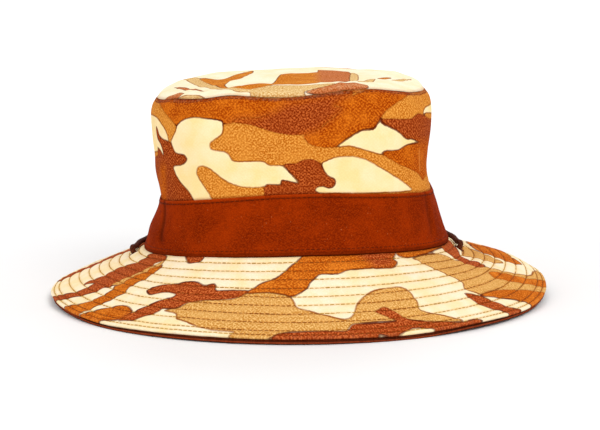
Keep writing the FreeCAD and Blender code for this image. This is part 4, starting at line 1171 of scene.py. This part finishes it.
def brim_lines(side):
    """The stitch rows on the brim's upper (1) or lower (-1) skin."""
    phi = circle(1600)
    lines = []
    for dist in ROWS:
        across = np.full(len(phi), dist / SLANT - (ROW_SHIFT if side < 0 else 0.0))
        out = brim_surface(phi, across + 0.004, side) - brim_surface(phi, across - 0.004, side)
        along = brim_surface(phi + 4e-3, across, side) - brim_surface(phi - 4e-3, across, side)
        normal = unit(np.cross(out, along))
        normal = np.where(normal[:, 2:] * side < 0, -normal, normal)
        lines.append((brim_surface(phi, across, side), normal, True))
    return lines


def print_shade(points):
    """How dark a stitch is by the ink under it, in the order of KINDS."""
    return np.array([0.0, 0.80, 0.88, 0.96])[brim_print(points).argmax(0)]


brim_upper = upper_cloth()
brim_lower = lower_cloth()
stiffener = brim_stiffener()
needle = stitches("brim_needle_stitches", thread_brim, brim_lines(1), radius=0.25, length=2.45,
                  pitch=2.95, seed=1, shade=print_shade)
bobbin = stitches("brim_bobbin_stitches", thread_under, brim_lines(-1), radius=0.22, length=2.35,
                  pitch=2.95, seed=2)

# ------------------------------------------------------------ crown
STREAK = np.array([(78.8, 55.5), (81.3, 43.3)])  # ends of a pale streak, placed as CROWN_PRINT is
TIP_STITCH = 0.983  # share of the height at which the tip's topstitching runs
SEAM_GAP = 0.06 / SEAM_X  # angle left open beside each side seam


def band_top(phi):
    """The share of the height of the band's upper edge, which sinks towards the sides."""
    return 0.375 - 0.034 * np.cos(phi) ** 2 - 0.004 * bump(phi, 200, 30)


def crown_cloth(name, start, end):
    """Half of the crown wall, between two angles."""
    shares = np.concatenate([np.linspace(0.003, 0.36, 21)[:-1], np.linspace(0.36, 1.0, 81)])
    around, up = np.meshgrid(np.linspace(start, end, 301), shares, indexing="ij")
    points, faces = panel(
        wall_surface(around, up, 0.0), wall_surface(around[::2, ::2], up[::2, ::2], -PLY))
    phi, share = both_sides(around), both_sides(up)
    fields, cloth = crown_print(phi, share)
    outside = np.arange(len(phi)) < around.size
    p, q = STREAK
    place = cloth[:, :2]
    t = np.clip(((place - p) @ (q - p)) / ((q - p) @ (q - p)), 0, 1)
    from_streak = np.linalg.norm(place - p - t[:, None] * (q - p), axis=1)
    values = ink_values(fields)
    values["row"] = 0.6 * bell((share - TIP_STITCH) * HIGH, 0.8) * outside
    values["inside"] = ~outside
    values["wear"] = 0.5 * ease(0.975, 0.995, share)
    values["streak"] = 0.8 * bell(from_streak, 0.5)
    by_tip = 0.85 * bell((share - 0.994) * HIGH, 0.75) * outside
    values["shade"] = 0.7 * bell((share - band_top(phi)) * HIGH, 1.1) + by_tip
    return build(name, points, faces, camo_crown, values, cloth)


def crown_tip():
    count = 480
    phi = circle(count)[:, None]
    face = np.concatenate([np.linspace(0.0, 0.84, 49)[1:], np.linspace(0.84, 0.985, 22)[1:]])
    edge, edge_down = (0.994, 0.999, 0.994), (0.16, 0.42, 0.70)
    back = np.array([0.985, 0.95, 0.90, 0.82, *np.linspace(0.75, 0.05, 16)])
    back_down = 0.78
    ring = np.concatenate([face, edge, back])
    down = np.concatenate([0 * face, edge_down, np.full(len(back), back_down)])
    grid = tip_surface(phi, ring, down)
    middles = [tip_surface([0.0], [0.0], depth) for depth in (0.0, back_down)]
    index = numbered(grid.shape)
    faces = [quads(index, 1, 0), end_fans(index[:, 0], index[:, -1], index.size)]
    spots = wall(phi, np.ones_like(phi), 0.0) * FLAT * ring[:, None]
    spots = np.concatenate([spots.reshape(-1, 3), np.zeros((2, 3))])

    def spread(column, middle=(0, 0)):
        """A value per ring for every point, then for the two middle points."""
        return np.concatenate([np.tile(column, count), middle])

    values = ink_values(tip_print(spots))
    values["inside"] = spread(np.arange(len(ring)) >= len(ring) - len(back), (0, 1))
    values["shade"] = spread(0.45 * bell((ring - 0.999) * 82, 0.9))
    values["row"] = np.zeros(len(spots))
    values["wear"] = spread(0.5 * bell((ring - 0.96) * 82, 2.5))
    values["streak"] = np.zeros(len(spots))
    points = np.concatenate([grid.reshape(-1, 3), *middles])
    return build("crown_tip_cloth", points, faces, camo_tip_painted_light, values, spots * FLAT)


def wall_lines(ends, out, side=1, count=900, closed=False, follow=None):
    """Lines of stitching on the wall, each between two (phi, share); side -1 faces them inward.

    follow(phi) is added to the share.
    """
    t = np.linspace(0, 1, count, endpoint=not closed)
    lines = []
    for (phi0, share0), (phi1, share1) in ends:
        phi, share = phi0 + (phi1 - phi0) * t, share0 + (share1 - share0) * t
        if follow is not None:
            share = share + follow(phi)
        around = wall_surface(phi + 3e-3, share, out) - wall_surface(phi - 3e-3, share, out)
        upward = wall_surface(phi, share + 5e-3, out) - wall_surface(phi, share - 5e-3, out)
        normal = unit(np.cross(around, upward))
        facing = (normal * polar(1, phi)).sum(-1, keepdims=True)
        normal = np.where(facing < 0, -normal, normal) * side
        lines.append((wall_surface(phi, share, out), normal, closed))
    return lines


def ring_stitches(name, material, share, out, seed, side=1, follow=None,
                  radius=0.23, length=2.3, pitch=2.9):
    """Stitching right round the crown."""
    lines = wall_lines([((-PI, share), (PI, share))], out, side, closed=True, follow=follow)
    return stitches(name, material, lines, radius, length, pitch, seed)


def side_stitches(side, middle, seed):
    ends = [((middle + off, 0.42), (middle + off, 0.945)) for off in (-0.042, 0.042)]
    return stitches(side + "_side_topstitch", thread_brim, wall_lines(ends, 0.0, count=200),
                    radius=0.22, length=2.2, pitch=2.75, seed=seed)


front_cloth = crown_cloth("crown_front_cloth", -PI + SEAM_GAP, -SEAM_GAP)
back_cloth = crown_cloth("crown_back_cloth", SEAM_GAP, PI - SEAM_GAP)
tip_cloth = crown_tip()
tip_stitch = ring_stitches("crown_tip_topstitch", thread_tip, TIP_STITCH, 0.0, seed=3,
                           radius=0.24, length=2.2, pitch=2.75)
side_right = side_stitches("right", 0.0, seed=5)
side_left = side_stitches("left", PI, seed=4)

# ------------------------------------------------------------ rings of cloth round the crown wall
ROW_IN = 1.75  # stitch row in from a band's edge
BAND_LOW = 0.012  # share of the height of the bands' lower edge at their stitching


def wall_ring(name, shares, out, thick, material, roll, seed, count, inner_rows=8,
              shade=None, top=None):
    """A band of cloth between two shares of the height, with rounded edges.

    out is its outer face, roll how far that drops at an edge, top(phi) an uneven upper edge.
    """
    around = np.linspace(0, TAU, count, endpoint=False)
    phi = PI / 2 + around[:, None]
    lo, hi = shares
    face = np.linspace(lo, hi, 42)
    step = (hi - lo) / 41
    from_edge = np.minimum(face - lo, hi - face) * HIGH
    face_out = out - roll * bell(from_edge, 0.8) + bells(
        from_edge, ((0.10, 1.8, 1.2), (-0.16, ROW_IN, 0.7)))
    turn = np.array([0.35, 0.68])
    turn_out = out - roll - (thick - 2 * roll) * turn
    overhang = step * 0.45 * np.sin(PI * turn)
    share = np.concatenate(
        [face, hi + overhang, np.linspace(hi, lo, inner_rows), lo - overhang[::-1]])
    outs = np.concatenate([face_out, turn_out, np.full(inner_rows, out - thick), turn_out[::-1]])
    fitted = share
    if top is not None:
        fitted = lo + (share - lo) * (top(phi) - lo) / (hi - lo)
    wave = 0.10 * round_seam(phi, 9, seed) * step * 0.5
    fitted = fitted + wave * np.where(fitted > (lo + hi) / 2, 1, -1)
    from_edge = np.minimum(share - lo, hi - share) * HIGH
    values = no_marks(count * len(share))
    values["row"] = np.tile(bell(from_edge - ROW_IN, 0.6), count)
    values["wear"] = np.tile(bell(from_edge, 0.7), count) * 0.7
    if shade is not None:
        values["shade"] = shade(np.repeat(phi, len(share)), np.tile(share, count))
    cloth = xyz(around[:, None] * CROWN_R, share * HIGH).reshape(-1, 3)
    return sweep(wall_surface(phi, fitted, outs), name, material, values, cloth)


def band_shade(phi, share):
    """Shadow along the band's lower edge and in its deepest creases."""
    dark = 0.95 * bell((share + 0.006) * HIGH, 0.9)
    for middle, amount in ((211, 0.55), (-31, 0.30), (-26, -0.1)):
        dark = dark + amount * crease(phi, share, middle, 1.6) * ease(0.05, 0.12, share)
    return np.clip(dark, 0, 1)


def flat_tape(name, ends, shares, out, thick, material, around_steps=25, up_steps=61):
    """A flat strip inside the crown wall, between two angles and two shares of the height."""
    around, up = np.meshgrid(
        np.linspace(*ends, around_steps), np.linspace(*shares, up_steps), indexing="ij")
    edge = np.minimum(np.abs(around - ends[0]), np.abs(around - ends[1])) * CROWN_R
    rise = 0.16 * bell(edge, 0.6) + 0.05 * noise(wall(around, up, 0.0), 2.4, 51)
    inner = wall_surface(around, up, out - thick) + wall_normal(around, up) * rise[..., None]
    points, faces = panel(inner, wall_surface(around, up, out)[::2, ::2])
    cloth = xyz(both_sides(around) * CROWN_R, both_sides(up) * HIGH)
    return build(name, points, faces, material, no_marks(len(points)), cloth)


band = wall_ring("hat_band_cloth", (-0.006, 0.385), out=1.22, thick=0.9, material=band_cloth,
                 roll=0.30, seed=41, count=640, shade=band_shade, top=band_top)
band_up = ring_stitches("hat_band_upper_stitches", thread_band, -ROW_IN / HIGH, 1.08, seed=6,
                        follow=band_top)
band_low = ring_stitches("hat_band_lower_stitches", thread_band, BAND_LOW + ROW_IN / HIGH, 1.08,
                         seed=7)

# ------------------------------------------------------------ inside the crown
TAPE_OUT, TAPE_THICK, TAPE_TURN = -1.12, 0.45, 0.075  # seam tapes, with half their angle
LABEL_PHI, LABEL_SHARES = (116 * DEG, 136 * DEG), (0.13, 0.31)
LABEL_OUT, LABEL_THICK, LABEL_HEM = -2.48, 0.4, 0.9


def side_tape(side, middle):
    ends = (middle - TAPE_TURN, middle + TAPE_TURN)
    return flat_tape(side + "_side_tape_woven", ends, (0.40, 0.862), TAPE_OUT, TAPE_THICK, tape)


def label_stitches():
    """Stitching round the label, a hem in from its edges."""
    thread = thread_material("label_thread", (214, 204, 180), (236, 230, 212))
    turn, rise = LABEL_HEM / CROWN_R, LABEL_HEM / HIGH
    start, end = LABEL_PHI[0] + turn, LABEL_PHI[1] - turn
    low, high = LABEL_SHARES[0] + rise, LABEL_SHARES[1] - rise
    ends = [((start, low), (end, low)), ((start, high), (end, high)),
            ((start, low), (start, high)), ((end, low), (end, high))]
    lines = wall_lines(ends, LABEL_OUT - LABEL_THICK - 0.04, side=-1, count=60)
    return stitches("size_label_stitches", thread, lines, radius=0.16, length=1.4, pitch=1.8,
                    seed=9)


sweat = wall_ring("sweatband_cloth", (-0.012, 0.36), out=-1.22, thick=1.1, material=sweat_cloth,
                  roll=0.34, seed=42, count=480)
sweat_stitch = ring_stitches("sweatband_stitches", thread_band, BAND_LOW, -2.52, seed=8, side=-1)
tape_right = side_tape("right", 0.0)
tape_left = side_tape("left", PI)
tip_tape = wall_ring("tip_seam_tape_woven", (0.872, 0.976), out=TAPE_OUT, thick=TAPE_THICK,
                     material=tape, roll=0.12, seed=43, count=420, inner_rows=14)
label = flat_tape("size_label_ribbon", LABEL_PHI, LABEL_SHARES, LABEL_OUT, LABEL_THICK, ribbon,
                  around_steps=49, up_steps=33)
label_stitch = label_stitches()

# ------------------------------------------------------------ chin cord, its knot and the buttonholes
CORD_R, CORD_STEP, CORD_SIDES = 1.6, 0.62, 20
KNOT_R, KNOT_SIDES = 1.45, 14
BRIM_RUN = 58.0  # radial width of the brim by which the cord is placed
CORD_ACROSS = 4.3 / BRIM_RUN  # where the cord lies on the brim, round the band
STRAND_X, LOCK_Y = 1.72, 72.4  # the two strands through the lock
# Through the hole: along the brim, up from it, and inward
THROUGH_HOLE = ((5.2, 3.6, 1.4), (2.5, 3.7, 0.5), (0.75, 2.6, 0.1), (0.1, 0.9, 0.0),
                (0.0, -0.9, 0.0), (0.0, -2.6, 0.0), (0.0, -4.0, 0.0))
# From the hole into the crown: inward, along, and z
UNDER_SEAM = ((3.5, 0.0, -5.2), (5.8, 0.5, -5.8), (9.3, 2.1, -5.4), (12.4, 5.6, -3.7),
              (14.7, 11.4, -0.7), (16.0, 18.0, 3.0))
# Round the inside of the wall: degrees, share of the height, out from the wall
INSIDE_WALL = ((24, 0.030, -5.4), (34, 0.046, -5.0), (44, 0.060, -5.0), (58, 0.075, -5.2))
# Up to the lock, on the right
TO_LOCK = ((25.0, 79.0, 8.6), (12.5, 78.6, 9.8), (5.6, 76.0, 11.4), (2.47, 73.35, 15.2),
           (STRAND_X, LOCK_Y, 20.0))
STRAND_Z = [21.5, 23.0, 25.0, 28.0, 32.0, 37.0, 43.0, 50.0, 59.0, 68.0, 79.4]


def point_normal(phi, across):
    step = 1e-3
    outward = brim(phi, across + step) - brim(phi, across - step)
    normal = np.cross(outward, brim(phi + step, across) - brim(phi - step, across))
    return unit(normal if normal[2] > 0 else -normal)


def above_brim(phi, across, lift):
    return brim(phi, across) + point_normal(phi, across) * (CORD_R + lift)


def cord_side(side):
    """The cord's path from the back, through the hole and up to the lock, on one side."""
    def angle(degrees):
        return degrees * DEG if side > 0 else PI - degrees * DEG

    path = [above_brim(angle(deg), CORD_ACROSS, 0.45) for deg in (78, 66, 54, 42, 30, 20, 12)]
    path.append(above_brim(angle(5), 5.4 / BRIM_RUN, 1.3))
    phi, hole = HOLE_PHI[side], HOLE_AT[side]
    normal = point_normal(phi, HOLE_OUT / SLANT)
    tangent = np.array([-math.sin(phi), math.cos(phi), 0]) * side
    if tangent[1] < 0:
        tangent = -tangent
    inward = polar(-1, phi)
    for along, up, move in THROUGH_HOLE:
        path.append(hole + normal * up + tangent * along + inward * move)
    for move, along, z in UNDER_SEAM:
        path.append(hole + inward * move + tangent * along + np.array([0, 0, z]))
    for deg, share, out in INSIDE_WALL:
        x, y = wall(angle(deg), share, out)[:2]
        path.append(np.array([x, y, share * HIGH + 0.6]))
    return path + [np.array([side * x, y, z]) for x, y, z in TO_LOCK]


def spline(points, spacing):
    """A natural cubic spline through points, resampled about every spacing."""
    points = np.array(points, float)
    run = arc_length(points)
    count = len(points)
    gap = np.diff(run)
    system = np.eye(count)
    right = np.zeros((count, 3))
    for i in range(1, count - 1):
        system[i, i - 1:i + 2] = gap[i - 1], 2 * (gap[i - 1] + gap[i]), gap[i]
        ahead, behind = points[i + 1] - points[i], points[i] - points[i - 1]
        right[i] = 6 * (ahead / gap[i] - behind / gap[i - 1])
    bend = np.linalg.solve(system, right)
    at = np.linspace(0, run[-1], int(run[-1] / spacing))
    k = np.clip(np.searchsorted(run, at, side="right") - 1, 0, count - 2)
    left, passed, width = (run[k + 1] - at)[:, None], (at - run[k])[:, None], gap[k][:, None]
    curve = (bend[k] * left**3 + bend[k + 1] * passed**3) / (6 * width)
    curve = curve + (points[k] / width - bend[k] * width / 6) * left
    return curve + (points[k + 1] / width - bend[k + 1] * width / 6) * passed


def braid(turn):
    """Carriers over and under each other as bumps on a cord, turning by an angle each step."""
    def skin(step, angle):
        one, other = np.sin(4 * angle + step * turn), np.sin(4 * angle - step * turn)
        return 0.965 + 0.055 * np.maximum(one, other)

    return skin


def chin_cord():
    strands = [[np.array([x, LOCK_Y, z]) for z in STRAND_Z] for x in (-STRAND_X, STRAND_X)]
    path = strands[0][::-1] + cord_side(-1)[::-1] + [above_brim(PI / 2, CORD_ACROSS, 0.45)]
    path += cord_side(1) + strands[1]
    centre = lean_brim(spline(path, CORD_STEP))
    x, y, z = centre.T
    straight = (y < 76) & (y > 60) & (np.abs(x) < 3.2) & (z > 12)
    centre[straight, 0] = np.where(centre[straight, 0] > 0, STRAND_X, -STRAND_X)
    points, faces = tube(centre, CORD_R, CORD_SIDES, braid(TAU * CORD_STEP / 4.6))
    count = len(centre)
    along = np.append(np.repeat(np.arange(count) * CORD_STEP, CORD_SIDES), [0, count * CORD_STEP])
    around = np.append(np.tile(np.arange(CORD_SIDES) * TAU / CORD_SIDES, count), [0, 0])
    return build("chin_cord_braided", points, faces, cord_cloth, None, xyz(along, around), sharp=0)


def cord_knot():
    """A trefoil with two free ends, above the lock."""
    t = np.linspace(0, TAU, 260, endpoint=False)
    loop = xyz((np.sin(t) + 2 * np.sin(2 * t)) * 1.02, -np.sin(3 * t) * 1.55,
               (np.cos(t) - 2 * np.cos(2 * t)) * 0.72) + (0, LOCK_Y, 83.0)
    skin = braid(0.75)
    parts = [tube(np.concatenate([loop, loop[:1]]), KNOT_R, KNOT_SIDES, skin)]
    for side in (-1, 1):
        t = np.linspace(0, 1, 14)[:, None]
        start = np.array([side * 1.6, LOCK_Y, 84.2])
        run, bend = np.array([side * 1.9, 0.9 * side, 3.0]), np.array([side * 0.8, 0, -1.0])
        parts.append(tube(start + t * run + t**2 * bend, 1.35, KNOT_SIDES, skin))
    points, faces = join(parts)
    number = np.arange(len(points))
    cloth = xyz(number / KNOT_SIDES * 0.6, (number % KNOT_SIDES) * TAU / KNOT_SIDES)
    return build("cord_end_knot_tied", points, faces, cord_cloth, None, cloth, sharp=0)


def buttonhole(name, side, seed):
    """Stitches radiating from a cord hole, on both faces of the brim."""
    hole, normal = HOLE_AT[side], point_normal(HOLE_PHI[side], HOLE_OUT / SLANT)
    tangent = unit(np.cross(normal, [0, 0, 1.0]))
    across = np.cross(normal, tangent)
    lines = []
    for face, lift in ((1, 0.12), (-1, -(2.97 + 0.12))):
        for k in range(34):
            angle = TAU * k / 34
            spoke = tangent * math.cos(angle) + across * math.sin(angle)
            points = hole + normal * lift + np.array([[1.86], [2.29], [2.72]]) * spoke
            lines.append((lean_brim(points), np.tile(normal * face, (3, 1)), False))
    return stitches(name, thread_band, lines, radius=0.22, length=1.15, pitch=5.0, seed=seed)


def lock_coil():
    """The plunger's spring, a round wire wound between the barrel's end wall and the plunger."""
    low, high = [np.array(corner) * 1000 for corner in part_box("cord_lock_spring")]
    wire, pitch = 0.4, 1.35
    radius = (high[1] - low[1]) / 2 - wire
    y, z = (low[1:] + high[1:]) / 2
    start, end = low[0] + wire, high[0] - wire
    turns = (end - start) / pitch
    angle = np.linspace(0, TAU * turns, int(turns * 40))
    along = start + (end - start) * angle / angle[-1]
    centre = xyz(along, y + radius * np.cos(angle), z + radius * np.sin(angle))
    points, faces = tube(centre, wire, 12)
    piece = build("cord_lock_coil", points, faces, steel, sharp=0)
    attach(piece, "cord_lock")
    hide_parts("cord_lock_spring")
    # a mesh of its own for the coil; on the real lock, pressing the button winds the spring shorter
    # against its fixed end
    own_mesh(piece)


cord = chin_cord()
knot = cord_knot()
lock_coil()
hole_right = buttonhole("right_buttonhole_stitches", 1, seed=10)
hole_left = buttonhole("left_buttonhole_stitches", -1, seed=11)

# ------------------------------------------------------------ the CAD node each piece stands for
for piece, node, slot in (
    (tip_cloth, "crown_tip", "camo_twill"),
    (front_cloth, "crown_front_panel", "camo_twill"),
    (back_cloth, "crown_back_panel", "camo_twill"),
    (tip_tape, "crown_tip_seam_tape", "seam_tape"),
    (tape_left, "left_side_seam_tape", "seam_tape"),
    (tape_right, "right_side_seam_tape", "seam_tape"),
    (tip_stitch, "crown_tip_stitching", "band_thread"),
    (side_left, "left_side_seam_stitching", "brim_thread"),
    (side_right, "right_side_seam_stitching", "brim_thread"),
    (band, "hat_band", "band_twill"),
    (band_up, "hat_band_upper_stitching", "band_thread"),
    (band_low, "hat_band_lower_stitching", "band_thread"),
    (sweat, "sweatband", "sweatband_cloth"),
    (sweat_stitch, "sweatband_stitching", "band_thread"),
    (label, "size_label", "label_cloth"),
    (label_stitch, None, "label_cloth"),
    (brim_upper, "brim_upper_cloth", "camo_twill"),
    (stiffener, "brim_interlining", "interlining"),
    (brim_lower, "brim_lower_cloth", "lining_twill"),
    (needle, "brim_needle_thread", "brim_thread"),
    (bobbin, "brim_bobbin_thread", "brim_thread"),
    (hole_left, "left_cord_hole_stitching", "band_thread"),
    (hole_right, "right_cord_hole_stitching", "band_thread"),
    (cord, "chin_cord", "cord"),
    (knot, "cord_end_knot", "cord"),
):
    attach(piece, "hat")
    if node:
        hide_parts(node)
for node, material in (
        ("cord_lock_barrel", plastic), ("cord_lock_plunger", button), ("cord_lock_spring", steel)):
    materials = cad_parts[node].data.materials
    materials.clear()
    materials.append(material)


# ------------------------------------------------------------ floor, light, camera (metres)
def studio_floor(radius=30, sides=60):
    """A white disc just under the hat that glows faintly far out."""
    mat = Shader("studio_floor")
    cloud = mat.noise(mat.place(), scale=0.002)
    mat.finish(mat.mix(cloud, (251, 251, 251), (247, 247, 248)), rough=0.9, spec=0.05)
    far = mat.add("VectorMath", {0: mat.place()}, operation="LENGTH").outputs["Value"]
    mat.put(mat.skin.inputs["Emission Color"], (255, 255, 255))
    mat.put(mat.skin.inputs["Emission Strength"], mat.span(far, lo=500, hi=1900, to=(0.0, 0.32)))
    mesh = bpy.data.meshes.new("studio_floor")
    angles = [TAU * i / sides for i in range(sides)]
    z = REST * 0.001 - 0.00005
    ring = [(radius * math.cos(angle), radius * math.sin(angle), z) for angle in angles]
    mesh.from_pydata(ring, [], [list(range(sides))])
    mesh.materials.append(mat.material)
    floor = bpy.data.objects.new("studio_floor", mesh)
    bpy.context.scene.collection.objects.link(floor)
    floor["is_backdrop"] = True


def area(name, place, size, power, aim_z=0.02, color=(1, 1, 1)):
    """A round lamp aimed at the hat's axis."""
    data = bpy.data.lights.new(name, "AREA")
    data.shape = "DISK"
    data.size = size
    data.energy = power
    data.color = color
    lamp = bpy.data.objects.new(name, data)
    lamp.location = place
    aim = Vector((0, 0, aim_z)) - Vector(place)
    lamp.rotation_euler = aim.to_track_quat("-Z", "Y").to_euler()
    bpy.context.scene.collection.objects.link(lamp)


def front_camera(place, pitch, roll, lens):
    """A camera that looks along +Y, tipped down by pitch and turned by roll, in degrees."""
    data = bpy.data.cameras.new("camera")
    data.sensor_width = 36.0
    data.lens = lens
    data.clip_end = 100
    camera = bpy.data.objects.new("camera", data)
    pitch, roll = pitch * DEG, roll * DEG
    forward = np.array([0.0, math.cos(pitch), -math.sin(pitch)])
    level = np.array([1.0, 0.0, 0.0])
    upright = np.cross(level, forward)
    right = math.cos(roll) * level - math.sin(roll) * upright
    up = math.sin(roll) * level + math.cos(roll) * upright
    rows = np.column_stack([right, up, -forward, place]).tolist()
    camera.matrix_world = Matrix((*rows, (0, 0, 0, 1)))
    bpy.context.scene.collection.objects.link(camera)
    bpy.context.scene.camera = camera


studio_floor()
world = bpy.data.worlds.new("studio")
bpy.context.scene.world = world
world.use_nodes = True
background = world.node_tree.nodes["Background"].inputs
background["Color"].default_value = (1.0, 1.0, 1.0, 1.0)
background["Strength"].default_value = 0.78
area("key", (0.75, -1.5, 1.35), size=1.1, power=15.0, color=(1.0, 0.985, 0.96))
area("fill", (-1.5, -1.1, 0.75), size=1.3, power=5.0)
area("back", (0.2, 1.7, 1.3), size=1.2, power=9.0, aim_z=0.04)
front_camera((0.0022, -1.2, 0.195), pitch=8.69, roll=0.25, lens=121.26)
bpy.context.scene.view_settings.view_transform = "Standard"
bpy.context.scene.view_settings.look = "None"

see = lambda b: [[float(c) for c in v] for v in b]
{"cad": see(cad_box), "visual": see(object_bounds())}
